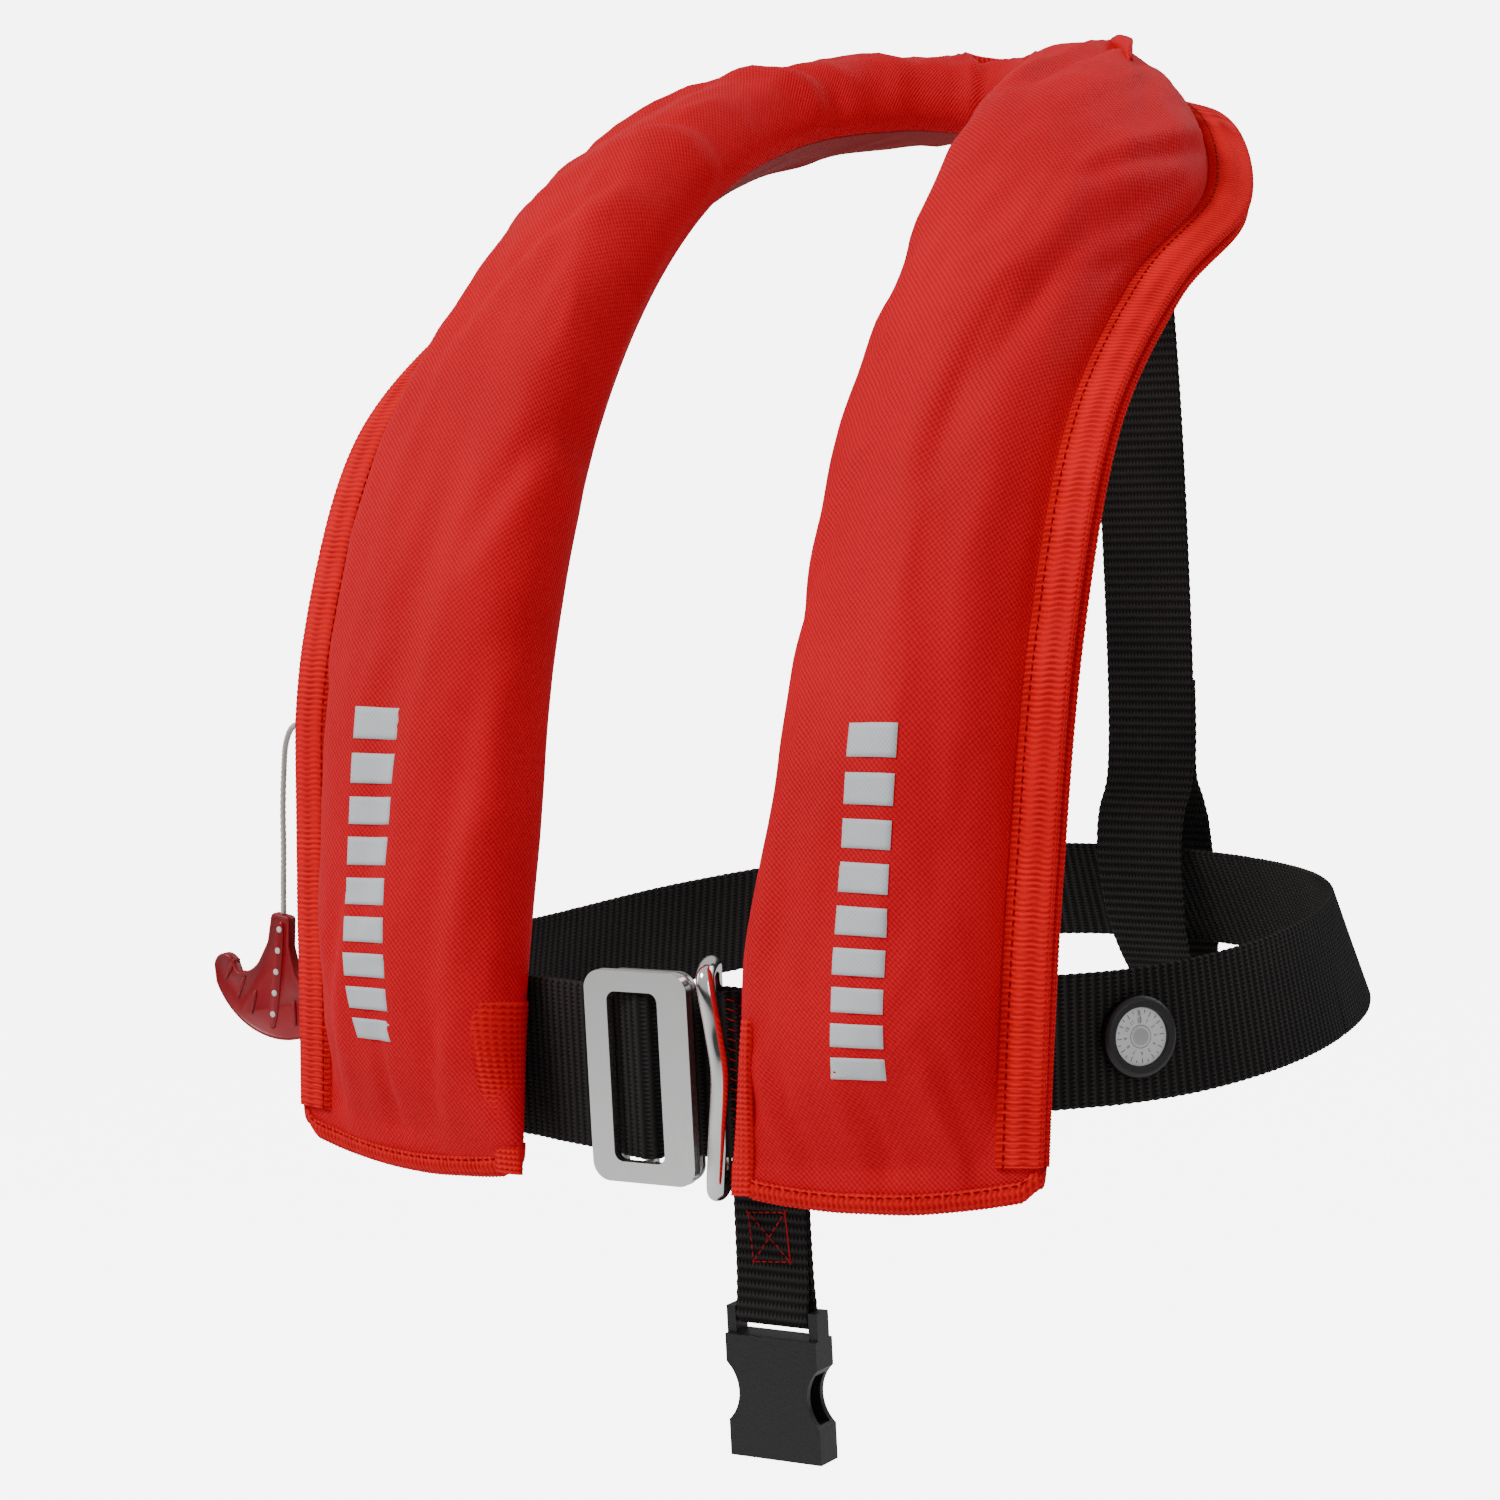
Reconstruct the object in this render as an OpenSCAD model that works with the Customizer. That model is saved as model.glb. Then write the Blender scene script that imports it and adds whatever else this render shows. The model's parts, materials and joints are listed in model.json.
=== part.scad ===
// Inflatable life jacket, packed and ready to wear.
// Origin: the nape point, at the middle of the collar's inner edge.
// +Z up, +X to the wearer's left, -Y to the front.

/* [Cover] */
// thickness of the cover fabric with its lining
fabric_t = 1.0; // [0.8:0.1:1.0]
// width of the ribbed tape that binds the cover's edges
bind_w = 14; // [12:1:14]
// thickness of the binding tape
bind_t = 0.7; // [0.5:0.1:0.8]
// half of the closed gap that the touch tape fills
close_t = 1.2; // [1.0:0.1:1.4]

/* [Belt] */
// width of the webbing at the front buckle
front_w = 50; // [46:1:50]
// width of the webbing round the waist
waist_w = 40; // [36:1:40]
// thickness of the waist webbing
web_t = 2.0; // [1.6:0.1:2.0]
// width of the back strap
back_w = 34; // [32:1:35]
// width of the crotch tab
tab_w = 25; // [22:1:26]

/* [Steel buckle] */
// outer width of the front frame
frame_w = 36.5; // [35:0.5:38]
// outer height of the front frame
frame_h = 64; // [62:1:66]
// plate thickness of both frames
plate_t = 3.0; // [2.4:0.2:3.2]
// width of the slot in the front frame
slot_w = 18; // [16:0.5:18]
// radius of the harness ring's steel rod
rod_r = 2.8; // [2.4:0.1:2.9]
// how far the harness ring stands out
ring_d = 20; // [18:1:22]

/* [Plastic buckles] */
// width of the side-release sockets
sock_w = 32; // [30:1:33]
// length of the socket body below its bar
sock_h = 40; // [38:1:42]
// thickness of the socket body
sock_t = 9.5; // [8.5:0.5:10]

/* [Inflator] */
// radius of the gas cylinder
gas_r = 12.5; // [11:0.5:12.5]
// length of the gas cylinder from neck to base
gas_len = 88; // [80:1:90]
// radius of the inflator's body
body_r = 12.5; // [12:0.5:12.5]
// throw of the cam that drives the piercing pin
cam_e = 3; // [2:0.5:3]

/* [Handle, tube and dial] */
// radius of the pull cord
cord_r = 1.0; // [0.8:0.1:1.0]
// thickness of the pull handle
handle_t = 4; // [3:0.5:5]
// outer radius of the oral tube
tube_r = 4.2; // [3.8:0.1:4.2]
// outer radius of the date dial's ring
dial_r = 12.2; // [11:0.2:13]

/* [Hidden] */
$fn = 64;
eps = 0.05;

// Edges of the folded cover on the wearer's left, from the nape to the hem.
inner_half = [
    [0, 0, 0], [26, -16, 3], [42, -56, 0], [49, -105, -17], [51, -148, -54],
    [50, -182, -107], [48, -210, -167], [45, -228, -222], [42, -240, -272], [39, -248, -312]];
outer_half = [
    [0, 66, -10], [50, 40, -8], [100, -18, -18], [128, -68, -43], [132, -125, -66],
    [137, -180, -104], [138, -210, -164], [136, -222, -225], [134, -228, -273], [133, -232, -309]];
// Thickness of the pack at the same stations.
puff_half = [30, 30, 34, 38, 40, 42, 42, 42, 38, 10];
// Height of the folded bladder above the middle plane, on each side.
fold_left = [9, 9, 9, 8, 6, 5, 5.5, 6, 4, 0];
fold_right = [9, 9, 9, 8, 3, -4, -8.5, -8.5, -6, -6];
// Depth of the back panel behind the middle plane at the same stations.
depth_half = [11.4, 11.4, 12.9, 14.4, 15.2, 16, 16, 14.5, 7.4, 3.6];

last = len(inner_half) - 1;
function flip_x(p) = [-p.x, p.y, p.z];
inner_edge = [for (i = [last:-1:1]) inner_half[i], for (p = inner_half) flip_x(p)];
outer_edge = [for (i = [last:-1:1]) outer_half[i], for (p = outer_half) flip_x(p)];
puff = [for (i = [last:-1:1]) puff_half[i], for (v = puff_half) v];
fold_top = [for (i = [last:-1:1]) fold_left[i], for (v = fold_right) v];
depth = [for (i = [last:-1:1]) depth_half[i], for (v = depth_half) v];

// Stations run from the left hem (0) over the nape (9) to the right hem (18).
s_nape = last;
s_end = 2 * last;
s_exit = s_nape + 6.4;
step = 1 / 3;
function stations(a, b) = [for (i = [round(a / step):round(b / step)]) i * step];

// Smooth curve through a list of points or numbers.
function curve(a, b, c, d, t) =
    0.5 * (2 * b + (c - a) * t + (2 * a - 5 * b + 4 * c - d) * t * t
    + (3 * b - a - 3 * c + d) * t * t * t);
function at(list, s) =
    let (n = len(list), i = min(max(floor(s), 0), n - 2), b = list[i], c = list[i + 1],
         a = i > 0 ? list[i - 1] : 2 * b - c, d = i < n - 2 ? list[i + 2] : 2 * c - b)
    curve(a, b, c, d, s - i);
function unit(v) = v / norm(v);

// A point of the cover at station s: u across from the inner edge, n outwards.
function middle(s) = (at(inner_edge, s) + at(outer_edge, s)) / 2;
function along(s) = unit(middle(s + 0.02) - middle(s - 0.02));
function across(s) = unit(at(outer_edge, s) - at(inner_edge, s));
function outward(s) = unit(cross(across(s), along(s)));
function wide(s) = norm(at(outer_edge, s) - at(inner_edge, s));
function place(s, p) = at(inner_edge, s) + across(s) * p.x + outward(s) * p.y;
// The closed edge opens a little where the pull cord comes out.
function mouth(s) = close_t + 1.4 * max(0, 1 - abs(s - s_exit) / 0.8);

function rev(list) = [for (i = [len(list) - 1:-1:0]) list[i]];

// Solid through a row of rings. The first half of each ring faces its second half.
// A loop joins its last ring to its first and has no ends.
module skin(rings, loop = false) {
    m = len(rings[0]);
    n = len(rings);
    h = m / 2;
    pts = [for (r = rings) for (p = r) p];
    sides = [for (i = [0:(loop ? n - 1 : n - 2)]) for (j = [0:m - 1])
        let (k = (j + 1) % m, a = i * m, b = (i + 1) % n * m)
        each [[a + j, a + k, b + k], [a + j, b + k, b + j]]];
    first = [for (j = [0:h - 2]) each [[j, m - 1 - j, m - 2 - j], [j, m - 2 - j, j + 1]]];
    e = (n - 1) * m;
    final = [for (j = [0:h - 2])
        each [[e + j, e + m - 2 - j, e + m - 1 - j], [e + j, e + j + 1, e + m - 2 - j]]];
    polyhedron(pts, loop ? sides : concat(sides, first, final), convexity = 8);
}

// Points of an arc about c, and a ring of points round a tube that heads along t.
function arc(c, r, a, b, n = 12) =
    [for (i = [0:n]) let (q = a + (b - a) * i / n) c + r * [cos(q), sin(q)]];
function tube_ring(c, t, r, ref = [0, 1, 0], n = 8) =
    let (u = unit(cross(t, ref)), v = unit(cross(u, t)))
    [for (i = [0:n - 1]) let (q = (i + 0.5) * 360 / n) c + r * (u * cos(q) + v * sin(q))];

// Outer and inner faces of the front panel, from the inner seam to the flange.
function front_out(s) =
    let (w = wide(s), t = at(puff, s), d = at(depth, s), g = mouth(s) + bind_t + fabric_t)
    [[6, -0.97 * d], [1.5, -0.58 * d], [0, 0.02 * t], [2, 0.28 * t], [9, 0.46 * t],
     [24, 0.57 * t], [0.46 * w, 0.6 * t], [w - 38, 0.57 * t], [w - 26, max(0.45 * t, g)],
     [w - 18, max(0.24 * t, g)], [w - bind_w - 0.5, g], [w - 0.9, g]];
function front_in(s) =
    let (w = wide(s), t = at(puff, s), d = at(depth, s), g = mouth(s) + bind_t, f = fabric_t)
    [[6, -0.97 * d + f], [2.5, -0.58 * d + 0.6 * f], [1.1, 0.02 * t], [2.9, 0.28 * t - 0.6 * f],
     [9.4, 0.46 * t - f], [24, 0.57 * t - f], [0.46 * w, 0.6 * t - f],
     [w - 38, 0.57 * t - f], [w - 26.4, max(0.45 * t - f, g)],
     [w - 18.8, max(0.24 * t - 0.7 * f, g)], [w - bind_w - 1, g], [w - 0.9, g]];
function back_out(s) =
    let (w = wide(s), d = at(depth, s), g = mouth(s) + bind_t + fabric_t)
    [[6, -0.97 * d], [20, -d], [w / 2, -d], [w - 28, -max(0.95 * d, g)],
     [w - 19, -max(0.58 * d, g)], [w - bind_w - 0.5, -g], [w - 0.9, -g]];
function back_in(s) =
    let (w = wide(s), d = at(depth, s), g = mouth(s) + bind_t, f = fabric_t)
    [[6, -0.97 * d + f], [20, -d + f], [w / 2, -d + f],
     [w - 28.6, -max(0.95 * d - f, g)], [w - 19.6, -max(0.58 * d - 0.8 * f, g)],
     [w - bind_w - 1, -g], [w - 0.9, -g]];
// Channel of binding tape round one flange: side is 1 for the front, -1 for the back.
function tape_out(s, side) =
    let (w = wide(s), a = mouth(s), b = a + 2 * bind_t + fabric_t)
    [[w - bind_w, side * a], [w, side * a], [w, side * b], [w - bind_w, side * b]];
function tape_in(s, side) =
    let (w = wide(s), a = mouth(s) + bind_t, b = a + fabric_t)
    [[w - bind_w, side * a], [w - 0.9, side * a], [w - 0.9, side * b], [w - bind_w, side * b]];

module panel(low, high, a = 0, b = s_end) {
    skin([for (s = stations(a, b))
        [for (p = concat(low(s), rev(high(s)))) place(s, p)]]);
}

module cover_front() {
    color([0.86, 0.06, 0.07])
    panel(function(s) front_in(s), function(s) front_out(s));
}

module cover_back() {
    color([0.7, 0.05, 0.06])
    panel(function(s) back_out(s), function(s) back_in(s));
}

module binding_front() {
    color([0.8, 0.05, 0.06])
    panel(function(s) tape_out(s, 1), function(s) tape_in(s, 1));
}

module binding_back() {
    color([0.78, 0.05, 0.06])
    panel(function(s) rev(tape_out(s, -1)), function(s) rev(tape_in(s, -1)));
}

// Touch tape in the closed edge, with a break where the pull cord comes out.
function touch_low(s, lo) = let (w = wide(s)) [[w - 12, lo], [w - 3, lo]];
module touch_strip(lo, hi) {
    for (run = [[0, 14], [16.667, s_end]])
        panel(function(s) touch_low(s, lo), function(s) touch_low(s, hi), run[0], run[1]);
}

module closure_hook() {
    color([0.15, 0.15, 0.16]) touch_strip(0.2, close_t - 0.45);
}

module closure_loop() {
    color([0.12, 0.12, 0.13]) touch_strip(0.45 - close_t, -0.2);
}

// Hem tape that closes the bottom of a lobe: s is 0 on the left and s_end on the right.
module hem(s) {
    w = wide(s);
    d = s == 0 ? -1 : 1;
    low = [[1, -3.4], [w / 2, -3.6], [w - 16, -4], [w - 1, -4]];
    high = [[1, 4], [w / 2, 6], [w - 16, 4], [w - 1, 4]];
    gaps = s == 0 ? [14, 7, 0.1] : [0.1, 7, 14];
    skin([for (g = gaps)
        [for (p = concat(low, rev(high))) place(s, p * (g > 10 ? 0.97 : 1)) + along(s) * d * g]]);
}

module hem_left() {
    color([0.8, 0.05, 0.06]) hem(0);
}

module hem_right() {
    color([0.8, 0.05, 0.06]) hem(s_end);
}

// Bars of reflective print on the front of each lobe.
function print_face(s, lift) =
    let (m = 0.46 * wide(s), t = 0.6 * at(puff, s) + lift)
    [[m - 9, t - 0.6], [m, t], [m + 9, t - 0.8]];
module print_bar(a, b) {
    color([0.82, 0.84, 0.85])
    panel(function(s) print_face(s, 0.4), function(s) print_face(s, 0.7), a, b);
}

module print_left() {
    print_bar(0.667, 2.667);
}

module print_right() {
    print_bar(15.333, 17.333);
}

// The bladder, folded flat inside the cover.
function bladder_low(s) =
    let (w = wide(s), b = 2.4 - at(depth, s))
    [[9, b + 1], [14, b], [w / 2, b], [w - 34, b], [w - 29, b + 1]];
function bladder_high(s) =
    let (w = wide(s), b = 2.4 - at(depth, s), h = max(at(fold_top, s), b + 2.5))
    [[9, (b + 1 + h) / 2], [14, h - 0.5], [w / 2, h], [w - 34, h - 0.5], [w - 29, (b + 1 + h) / 2]];
module bladder() {
    color([0.95, 0.75, 0.1])
    panel(function(s) bladder_low(s), function(s) bladder_high(s), 0.667, s_end - 1.7);
}

// Reflective tape sewn to the bladder over the shoulders.
function patch_face(s, lift) =
    let (w = wide(s), h = at(fold_top, s)) [[w / 2 + 1, h + lift], [w - 36, h - 1 + lift]];
module bladder_reflectors() {
    color([0.8, 0.8, 0.82])
    for (run = [[4, 5], [12, 13]])
        panel(function(s) patch_face(s, 0.9), function(s) patch_face(s, 1.4), run[0], run[1]);
}

// Webbing loop for lifting the wearer, folded on the left half of the bladder.
module lifting_becket() {
    color([0.1, 0.1, 0.1])
    panel(function(s) [[24, 11], [44, 11]], function(s) [[24, 13.5], [44, 13.5]], 1.333, 2);
}

// Ribbon of webbing: each point is [x, y, z, lean in degrees].
function web_pt(p) = [p.x, p.y, p.z];
function web_ring(pts, s, w, t) =
    let (c = web_pt(at(pts, s)),
         q = web_pt(at(pts, min(s + 0.05, len(pts) - 1))) - web_pt(at(pts, max(s - 0.05, 0))),
         d = unit([q.x, q.y, 0]), inward = [-d.y, d.x, 0], lean = at(pts, s)[3],
         up = [0, 0, cos(lean)] + inward * sin(lean), out = cross(up, d))
    [c - up * w / 2 - out * t / 2, c + up * w / 2 - out * t / 2,
     c + up * w / 2 + out * t / 2, c - up * w / 2 + out * t / 2];
module ribbon(pts, w, t, per = 3) {
    n = (len(pts) - 1) * per;
    skin([for (i = [0:n]) web_ring(pts, i / per, w, t)]);
}

// Route of the waist belt from behind the left lobe round to the right one.
waist_route = [
    [60, -223.2, -285, 0], [76, -219, -284, 0], [96, -207, -283, 0], [112, -188, -283, 2],
    [127, -166, -284, 4], [139, -141, -284, 6], [147, -108, -283, 8], [146, -70, -282, 12],
    [133, -22, -282, 16], [106, 24, -283, 20], [66, 60, -284, 24], [26, 76, -284, 26],
    [0, 79, -284, 26], [-26, 76, -284, 26], [-66, 60, -285, 24], [-106, 24, -287, 20],
    [-133, -22, -290, 16], [-147, -70, -293, 12], [-148, -108, -293, 8], [-139, -141, -292, 6],
    [-127, -166, -290, 4], [-112, -188, -288, 2], [-96, -207, -287, 0], [-76, -219, -286, 0],
    [-60, -223.2, -286, 0]];
dial_at = [127.6, -165, -284];
dial_turn = 57;
dial_lean = 4;

module at_dial() {
    translate(dial_at) rotate([0, 0, dial_turn]) rotate([90 - dial_lean, 0, 0]) children();
}

module waist_belt() {
    color([0.09, 0.09, 0.09])
    difference() {
        ribbon(waist_route, waist_w, web_t);
        at_dial() translate([0, 0, -6]) cylinder(r = 1.7, h = 12, $fn = 24);
    }
}

// Date dial: a black ring, a white disc that turns in it, and a rivet.
module dial_ring() {
    color([0.03, 0.03, 0.03])
    at_dial() difference() {
        union() {
            translate([0, 0, 1.6]) cylinder(r = dial_r, h = 2.6);
            translate([0, 0, 4.2]) cylinder(r1 = dial_r, r2 = dial_r - 1.2, h = 1);
        }
        translate([0, 0, 2.8]) cylinder(r = dial_r - 3.4, h = 4);
        translate([0, 0, 0]) cylinder(r = 1.5, h = 6);
    }
}

module dial_disc() {
    color([0.92, 0.93, 0.93])
    at_dial() difference() {
        translate([0, 0, 2.9]) cylinder(r = dial_r - 3.5, h = 1.2);
        translate([0, 0, 2]) cylinder(r = 1.56, h = 4);
        translate([-0.6, 4, 3.6]) cube([1.2, 4, 1]);
    }
}

module dial_rivet() {
    color([0.75, 0.76, 0.78])
    at_dial() union() {
        translate([0, 0, -2.6]) cylinder(r = 1.5, h = 6.8);
        translate([0, 0, 4.2]) cylinder(r = 2.4, h = 0.6);
        translate([0, 0, -3.4]) cylinder(r = 5, h = 1);
    }
}

// Loops on the back panels that the waist belt runs through. Each line of the
// list is a slice: its x, the belt's y there and the y of the back panel.
loop_slices = [[68, -221.5, -224.9], [72, -220.35, -224.4], [76, -218.9, -223.9],
               [80, -217.05, -223.4], [84, -214.9, -223]];
function loop_path(q) =
    [[q[2] + 0.9, -261.5], [q[1] - 2.3, -265.5], [q[1] - 2.3, -305.5], [q[1], -308],
     [q[1] + 2.3, -305.5], [q[1] + 2.3, -262], [q[2] + 3.6, -255]];
function beside(p, d) =
    [for (i = [0:len(p) - 1])
        let (t = unit(p[min(i + 1, len(p) - 1)] - p[max(i - 1, 0)])) p[i] + d * [t.y, -t.x]];
module belt_loop() {
    color([0.1, 0.1, 0.1])
    skin([for (q = loop_slices) let (p = loop_path(q))
        [for (v = concat(beside(p, -0.6), rev(beside(p, 0.6)))) [q[0], v.x, v.y]]]);
}

module belt_loop_left() {
    belt_loop();
}

module belt_loop_right() {
    translate([0, 0, -1.5]) mirror([1, 0, 0]) belt_loop();
}

// Front webbing. Each piece is a flat outline raised to the webbing's width.
belt_z = -289;
pin_a = [4, -240];
pin_b = [13, -229.5];
leg = [22, -229.5];

module raise(h, z = belt_z) {
    translate([0, 0, z - h / 2]) linear_extrude(h) children();
}

module front_tape_right() {
    color([0.09, 0.09, 0.09])
    raise(front_w) difference() {
        polygon(concat(arc(pin_a, 4.6, 90, -90),
            [[-4, -241.6], [-14, -237.6], [-34, -232.4], [-48, -227.6], [-66, -226],
             [-66, -224.3], [-48, -225], [-34, -228.6], [-14, -233.8], [-4, -237.2]]));
        polygon(concat(arc(pin_a, 2.8, 80, -80), [[-3, -240], [-3, -239]]));
    }
}

module front_tape_left() {
    color([0.09, 0.09, 0.09])
    raise(front_w) difference() {
        polygon(concat(arc(pin_b, 4.9, 90, 270),
            [[26, -234.4], [34, -230.4], [42, -228.4], [50, -227], [66, -226],
             [66, -224.4], [50, -224.8], [42, -226], [34, -226.8], [26, -224.6]]));
        polygon(concat(arc(pin_b, 3.1, 90, 270),
            [[25, -232.6], [31, -229.3], [31, -228.9], [25, -226.4]]));
    }
}

// Flat plate with round corners, standing upright with its back at y.
module plate(x, z, w, h, r, y, t) {
    translate([x, y, z]) rotate([90, 0, 0]) translate([0, 0, -t]) linear_extrude(t)
        union() {
            square([w - 2 * r, h], center = true);
            square([w, h - 2 * r], center = true);
            for (i = [-1, 1], j = [-1, 1])
                translate([i * (w / 2 - r), j * (h / 2 - r)]) circle(r);
        }
}

module buckle_frame() {
    x = -13.5 + frame_w / 2;
    y = -243 - plate_t;
    color([0.72, 0.73, 0.75])
    union() {
        difference() {
            plate(x, belt_z, frame_w, frame_h, 6, y, plate_t);
            plate(-5.5 + slot_w / 2, belt_z, slot_w, front_w + 1.5, 3, y - 1, plate_t + 2);
        }
        // Recessed bar that the webbing turns round, on a lug at each end.
        translate([pin_a.x, pin_a.y, belt_z - frame_h / 2 + 2])
            cylinder(r = 2.2, h = frame_h - 4);
        for (j = [-1, 1])
            translate([pin_a.x - 2.2, -243.5, belt_z + j * (frame_h / 2 - 3.9) - 1.9])
                cube([4.4, 3.5, 3.8]);
    }
}

module buckle_plate() {
    color([0.5, 0.51, 0.53])
    difference() {
        plate(-0.5, belt_z - 2.5, 32, frame_h, 6, -231, 3);
        plate(-0.5, belt_z - 2.5, 23, front_w + 6, 1.5, -233, 7);
    }
}

// Bent oblong ring of round rod: a straight rear leg and a front leg with a knee.
ring_h = front_w / 2 + 5.5;
toe = leg + ring_d * [0.45, -0.89];
ring_route = [
    [leg.x, leg.y, belt_z - ring_h + 2], [leg.x, leg.y, belt_z - ring_h / 3],
    [leg.x, leg.y, belt_z + ring_h / 3], [leg.x, leg.y, belt_z + ring_h - 2],
    [leg.x + 2.4, leg.y - 4, belt_z + ring_h + 2.5], [toe.x - 2, toe.y + 4, belt_z + ring_h + 2.5],
    [toe.x, toe.y, belt_z + ring_h - 1], [toe.x + 2, toe.y, belt_z + 16],
    [toe.x + 3.4, toe.y, belt_z + 3], [toe.x + 1.6, toe.y, belt_z - 14],
    [toe.x, toe.y, belt_z - ring_h + 1], [toe.x - 2, toe.y + 4, belt_z - ring_h - 2.5],
    [leg.x + 2.4, leg.y - 4, belt_z - ring_h - 2.5]];
module harness_ring() {
    n = len(ring_route);
    around = concat([ring_route[n - 1]], ring_route, [ring_route[0], ring_route[1]]);
    side = [-0.89, -0.45, 0];
    color([0.75, 0.75, 0.77])
    skin([for (i = [0:3 * n - 1]) let (s = 1 + i / 3)
        tube_ring(at(around, s), at(around, s + 0.05) - at(around, s - 0.05),
                  rod_r, side, 12)], true);
}

// Back strap from the collar's back edge to a loop round the waist belt.
strap_x = 16;
module back_strap() {
    color([0.1, 0.1, 0.1])
    intersection() {
        translate([strap_x - back_w / 2, 0, 0]) rotate([90, 0, 90]) linear_extrude(back_w)
            difference() {
                polygon([[54, -11.8], [56.4, -11.8], [63.8, -24], [69, -60], [74, -120], [75, -200],
                         [74, -240], [80, -250], [92, -278], [96.5, -302], [88, -316],
                         [76, -316], [65, -300], [58, -264], [66, -238], [71, -200],
                         [70, -120], [66, -60], [61.4, -24.4]]);
                polygon([[72, -246], [78.5, -252], [90, -278.6], [94.4, -301.6], [86.8, -314],
                         [77, -314], [67, -299.4], [60.2, -264], [66, -248]]);
            }
        translate([strap_x, 120, 0]) rotate([90, 0, 0]) linear_extrude(100)
            polygon([[-back_w / 2, 0], [back_w / 2, 0], [back_w / 2, -290], [12.4, -308],
                     [12.4, -320], [-12.4, -320], [-12.4, -308], [-back_w / 2, -290]]);
    }
}

// Doubled tab that carries the front crotch socket.
tab_at = [33, -220.8];
bar_z = -364;
module crotch_tab() {
    eye = [tab_at.y, bar_z];
    color([0.1, 0.1, 0.1])
    translate([tab_at.x - tab_w / 2, 0, 0]) rotate([90, 0, 90]) linear_extrude(tab_w)
        difference() {
            polygon(concat(arc(eye, 3.8, -180, 0),
                [[-218.8, -346], [-218.8, -268], [-222.8, -268], [-222.8, -346]]));
            polygon(concat(arc(eye, 2.1, -180, 0), [[-220.6, -350], [-221, -350]]));
        }
}

// Side-release socket hanging from its bar at the origin.
module socket_buckle() {
    a = sock_w / 2;
    difference() {
        union() {
            rotate([0, 90, 0]) translate([0, 0, -a + 1]) cylinder(r = 1.8, h = sock_w - 2);
            for (i = [-1, 1])
                translate([i * (a - 1.6) - 1.6, -sock_t / 2 + 1.5, -8])
                    cube([3.2, sock_t - 3, 10]);
            difference() {
                translate([-a, -sock_t / 2, -sock_h - 4]) cube([sock_w, sock_t, sock_h - 2.4]);
                for (i = [-1, 1])
                    translate([i * (a + 8), -10, -24]) rotate([-90, 0, 0])
                        cylinder(r = 12, h = 20);
            }
        }
        // Mouth that takes the plug, and the windows for its arms.
        translate([-a + 3.6, -2.8, -sock_h - 5]) cube([sock_w - 7.2, 5.6, 27]);
        translate([-a - 1, -2.8, -32]) cube([sock_w + 2, 5.6, 15]);
    }
}

module crotch_socket() {
    color([0.05, 0.05, 0.06])
    translate([tab_at.x, tab_at.y, bar_z]) socket_buckle();
}

rear_bar = [strap_x, 82, -311.2];
module rear_socket() {
    color([0.05, 0.05, 0.06])
    translate(rear_bar) socket_buckle();
}

// Inflator in the right lobe. Its own z runs up the gas cylinder.
infl_at = [-86, -222, -182];
infl_tilt = -13;
cam_lean = 80;
pivot_z = 9;
port_x = 21;
module at_inflator() {
    translate(infl_at) rotate([infl_tilt, 0, 0]) children();
}

module along_y(x, z, y, r, h) {
    translate([x, y, z]) rotate([-90, 0, 0]) cylinder(r = r, h = h);
}

module inflator_body() {
    color([0.9, 0.9, 0.9])
    at_inflator() difference() {
        union() {
            translate([0, 0, -10]) cylinder(r = body_r, h = 27);
            translate([0, 0, -16]) cylinder(r = 9.5, h = 7);
            translate([8, 2, -7]) cube([port_x - 8, 7, 14]);
            along_y(port_x, 0, 2, 8.5, 7);
        }
        // Socket for the gas cylinder's neck, bore and pocket of the piercing pin.
        translate([0, 0, -17]) cylinder(r = 6.7, h = 11);
        translate([0, 0, -7]) cylinder(r = 2.06, h = 8);
        translate([0, 0, -3]) cylinder(r = 4.2, h = 7);
        // Slot that the lever swings in, and the seat of the cap.
        translate([-16, -2.8, 0.6]) cube([20.4, 5.6, 20]);
        translate([-16, -2.8, -3.4]) cube([11.4, 5.6, 5]);
        translate([-16, -2.8, -10.6]) cube([8.6, 5.6, 7.8]);
        translate([0, 0, 14.4]) cylinder(r = 9.1, h = 4);
        along_y(0, pivot_z, -14, 1.5, 28);
        along_y(port_x, 0, 0, 4.55, 12);
    }
}

module gas_cylinder() {
    z0 = -9;
    color([0.7, 0.72, 0.74])
    at_inflator() rotate_extrude()
        polygon([[2.3, z0], [6.6, z0], [6.6, -17], [8, -18], [gas_r - 1, -25], [gas_r, -28],
                 [gas_r, z0 - gas_len + 7], [gas_r - 2, z0 - gas_len + 2],
                 [gas_r - 6, z0 - gas_len], [0, z0 - gas_len], [0, -15], [2.3, -15]]);
}

module inflator_cap() {
    color([0.15, 0.15, 0.16])
    at_inflator() union() {
        translate([0, 0, 14.6]) cylinder(r = 9, h = 4);
        translate([0, 0, 17.3]) cylinder(r = 11, h = 9);
        translate([0, 0, 26.3]) cylinder(r1 = 11, r2 = 9, h = 1.5);
        for (i = [0:11])
            rotate([0, 0, i * 30]) translate([10.6, -0.8, 18]) cube([1.2, 1.6, 8]);
    }
}

module inflator_lever() {
    color([0.75, 0.1, 0.1])
    at_inflator() difference() {
        union() {
            along_y(-cam_e * sin(cam_lean), pivot_z - cam_e * cos(cam_lean), -2.5, 5, 5);
            translate([-23, -2.5, pivot_z - 1.8]) cube([17, 5, 3.6]);
            along_y(-23, pivot_z, -2.5, 1.8, 5);
        }
        along_y(0, pivot_z, -3, 1.56, 6);
        translate([-21, 0, 5]) cylinder(r = 1.5, h = 8);
    }
}

module lever_pin() {
    color([0.75, 0.76, 0.78])
    at_inflator() along_y(0, pivot_z, -11.5, 1.5, 23);
}

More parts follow.
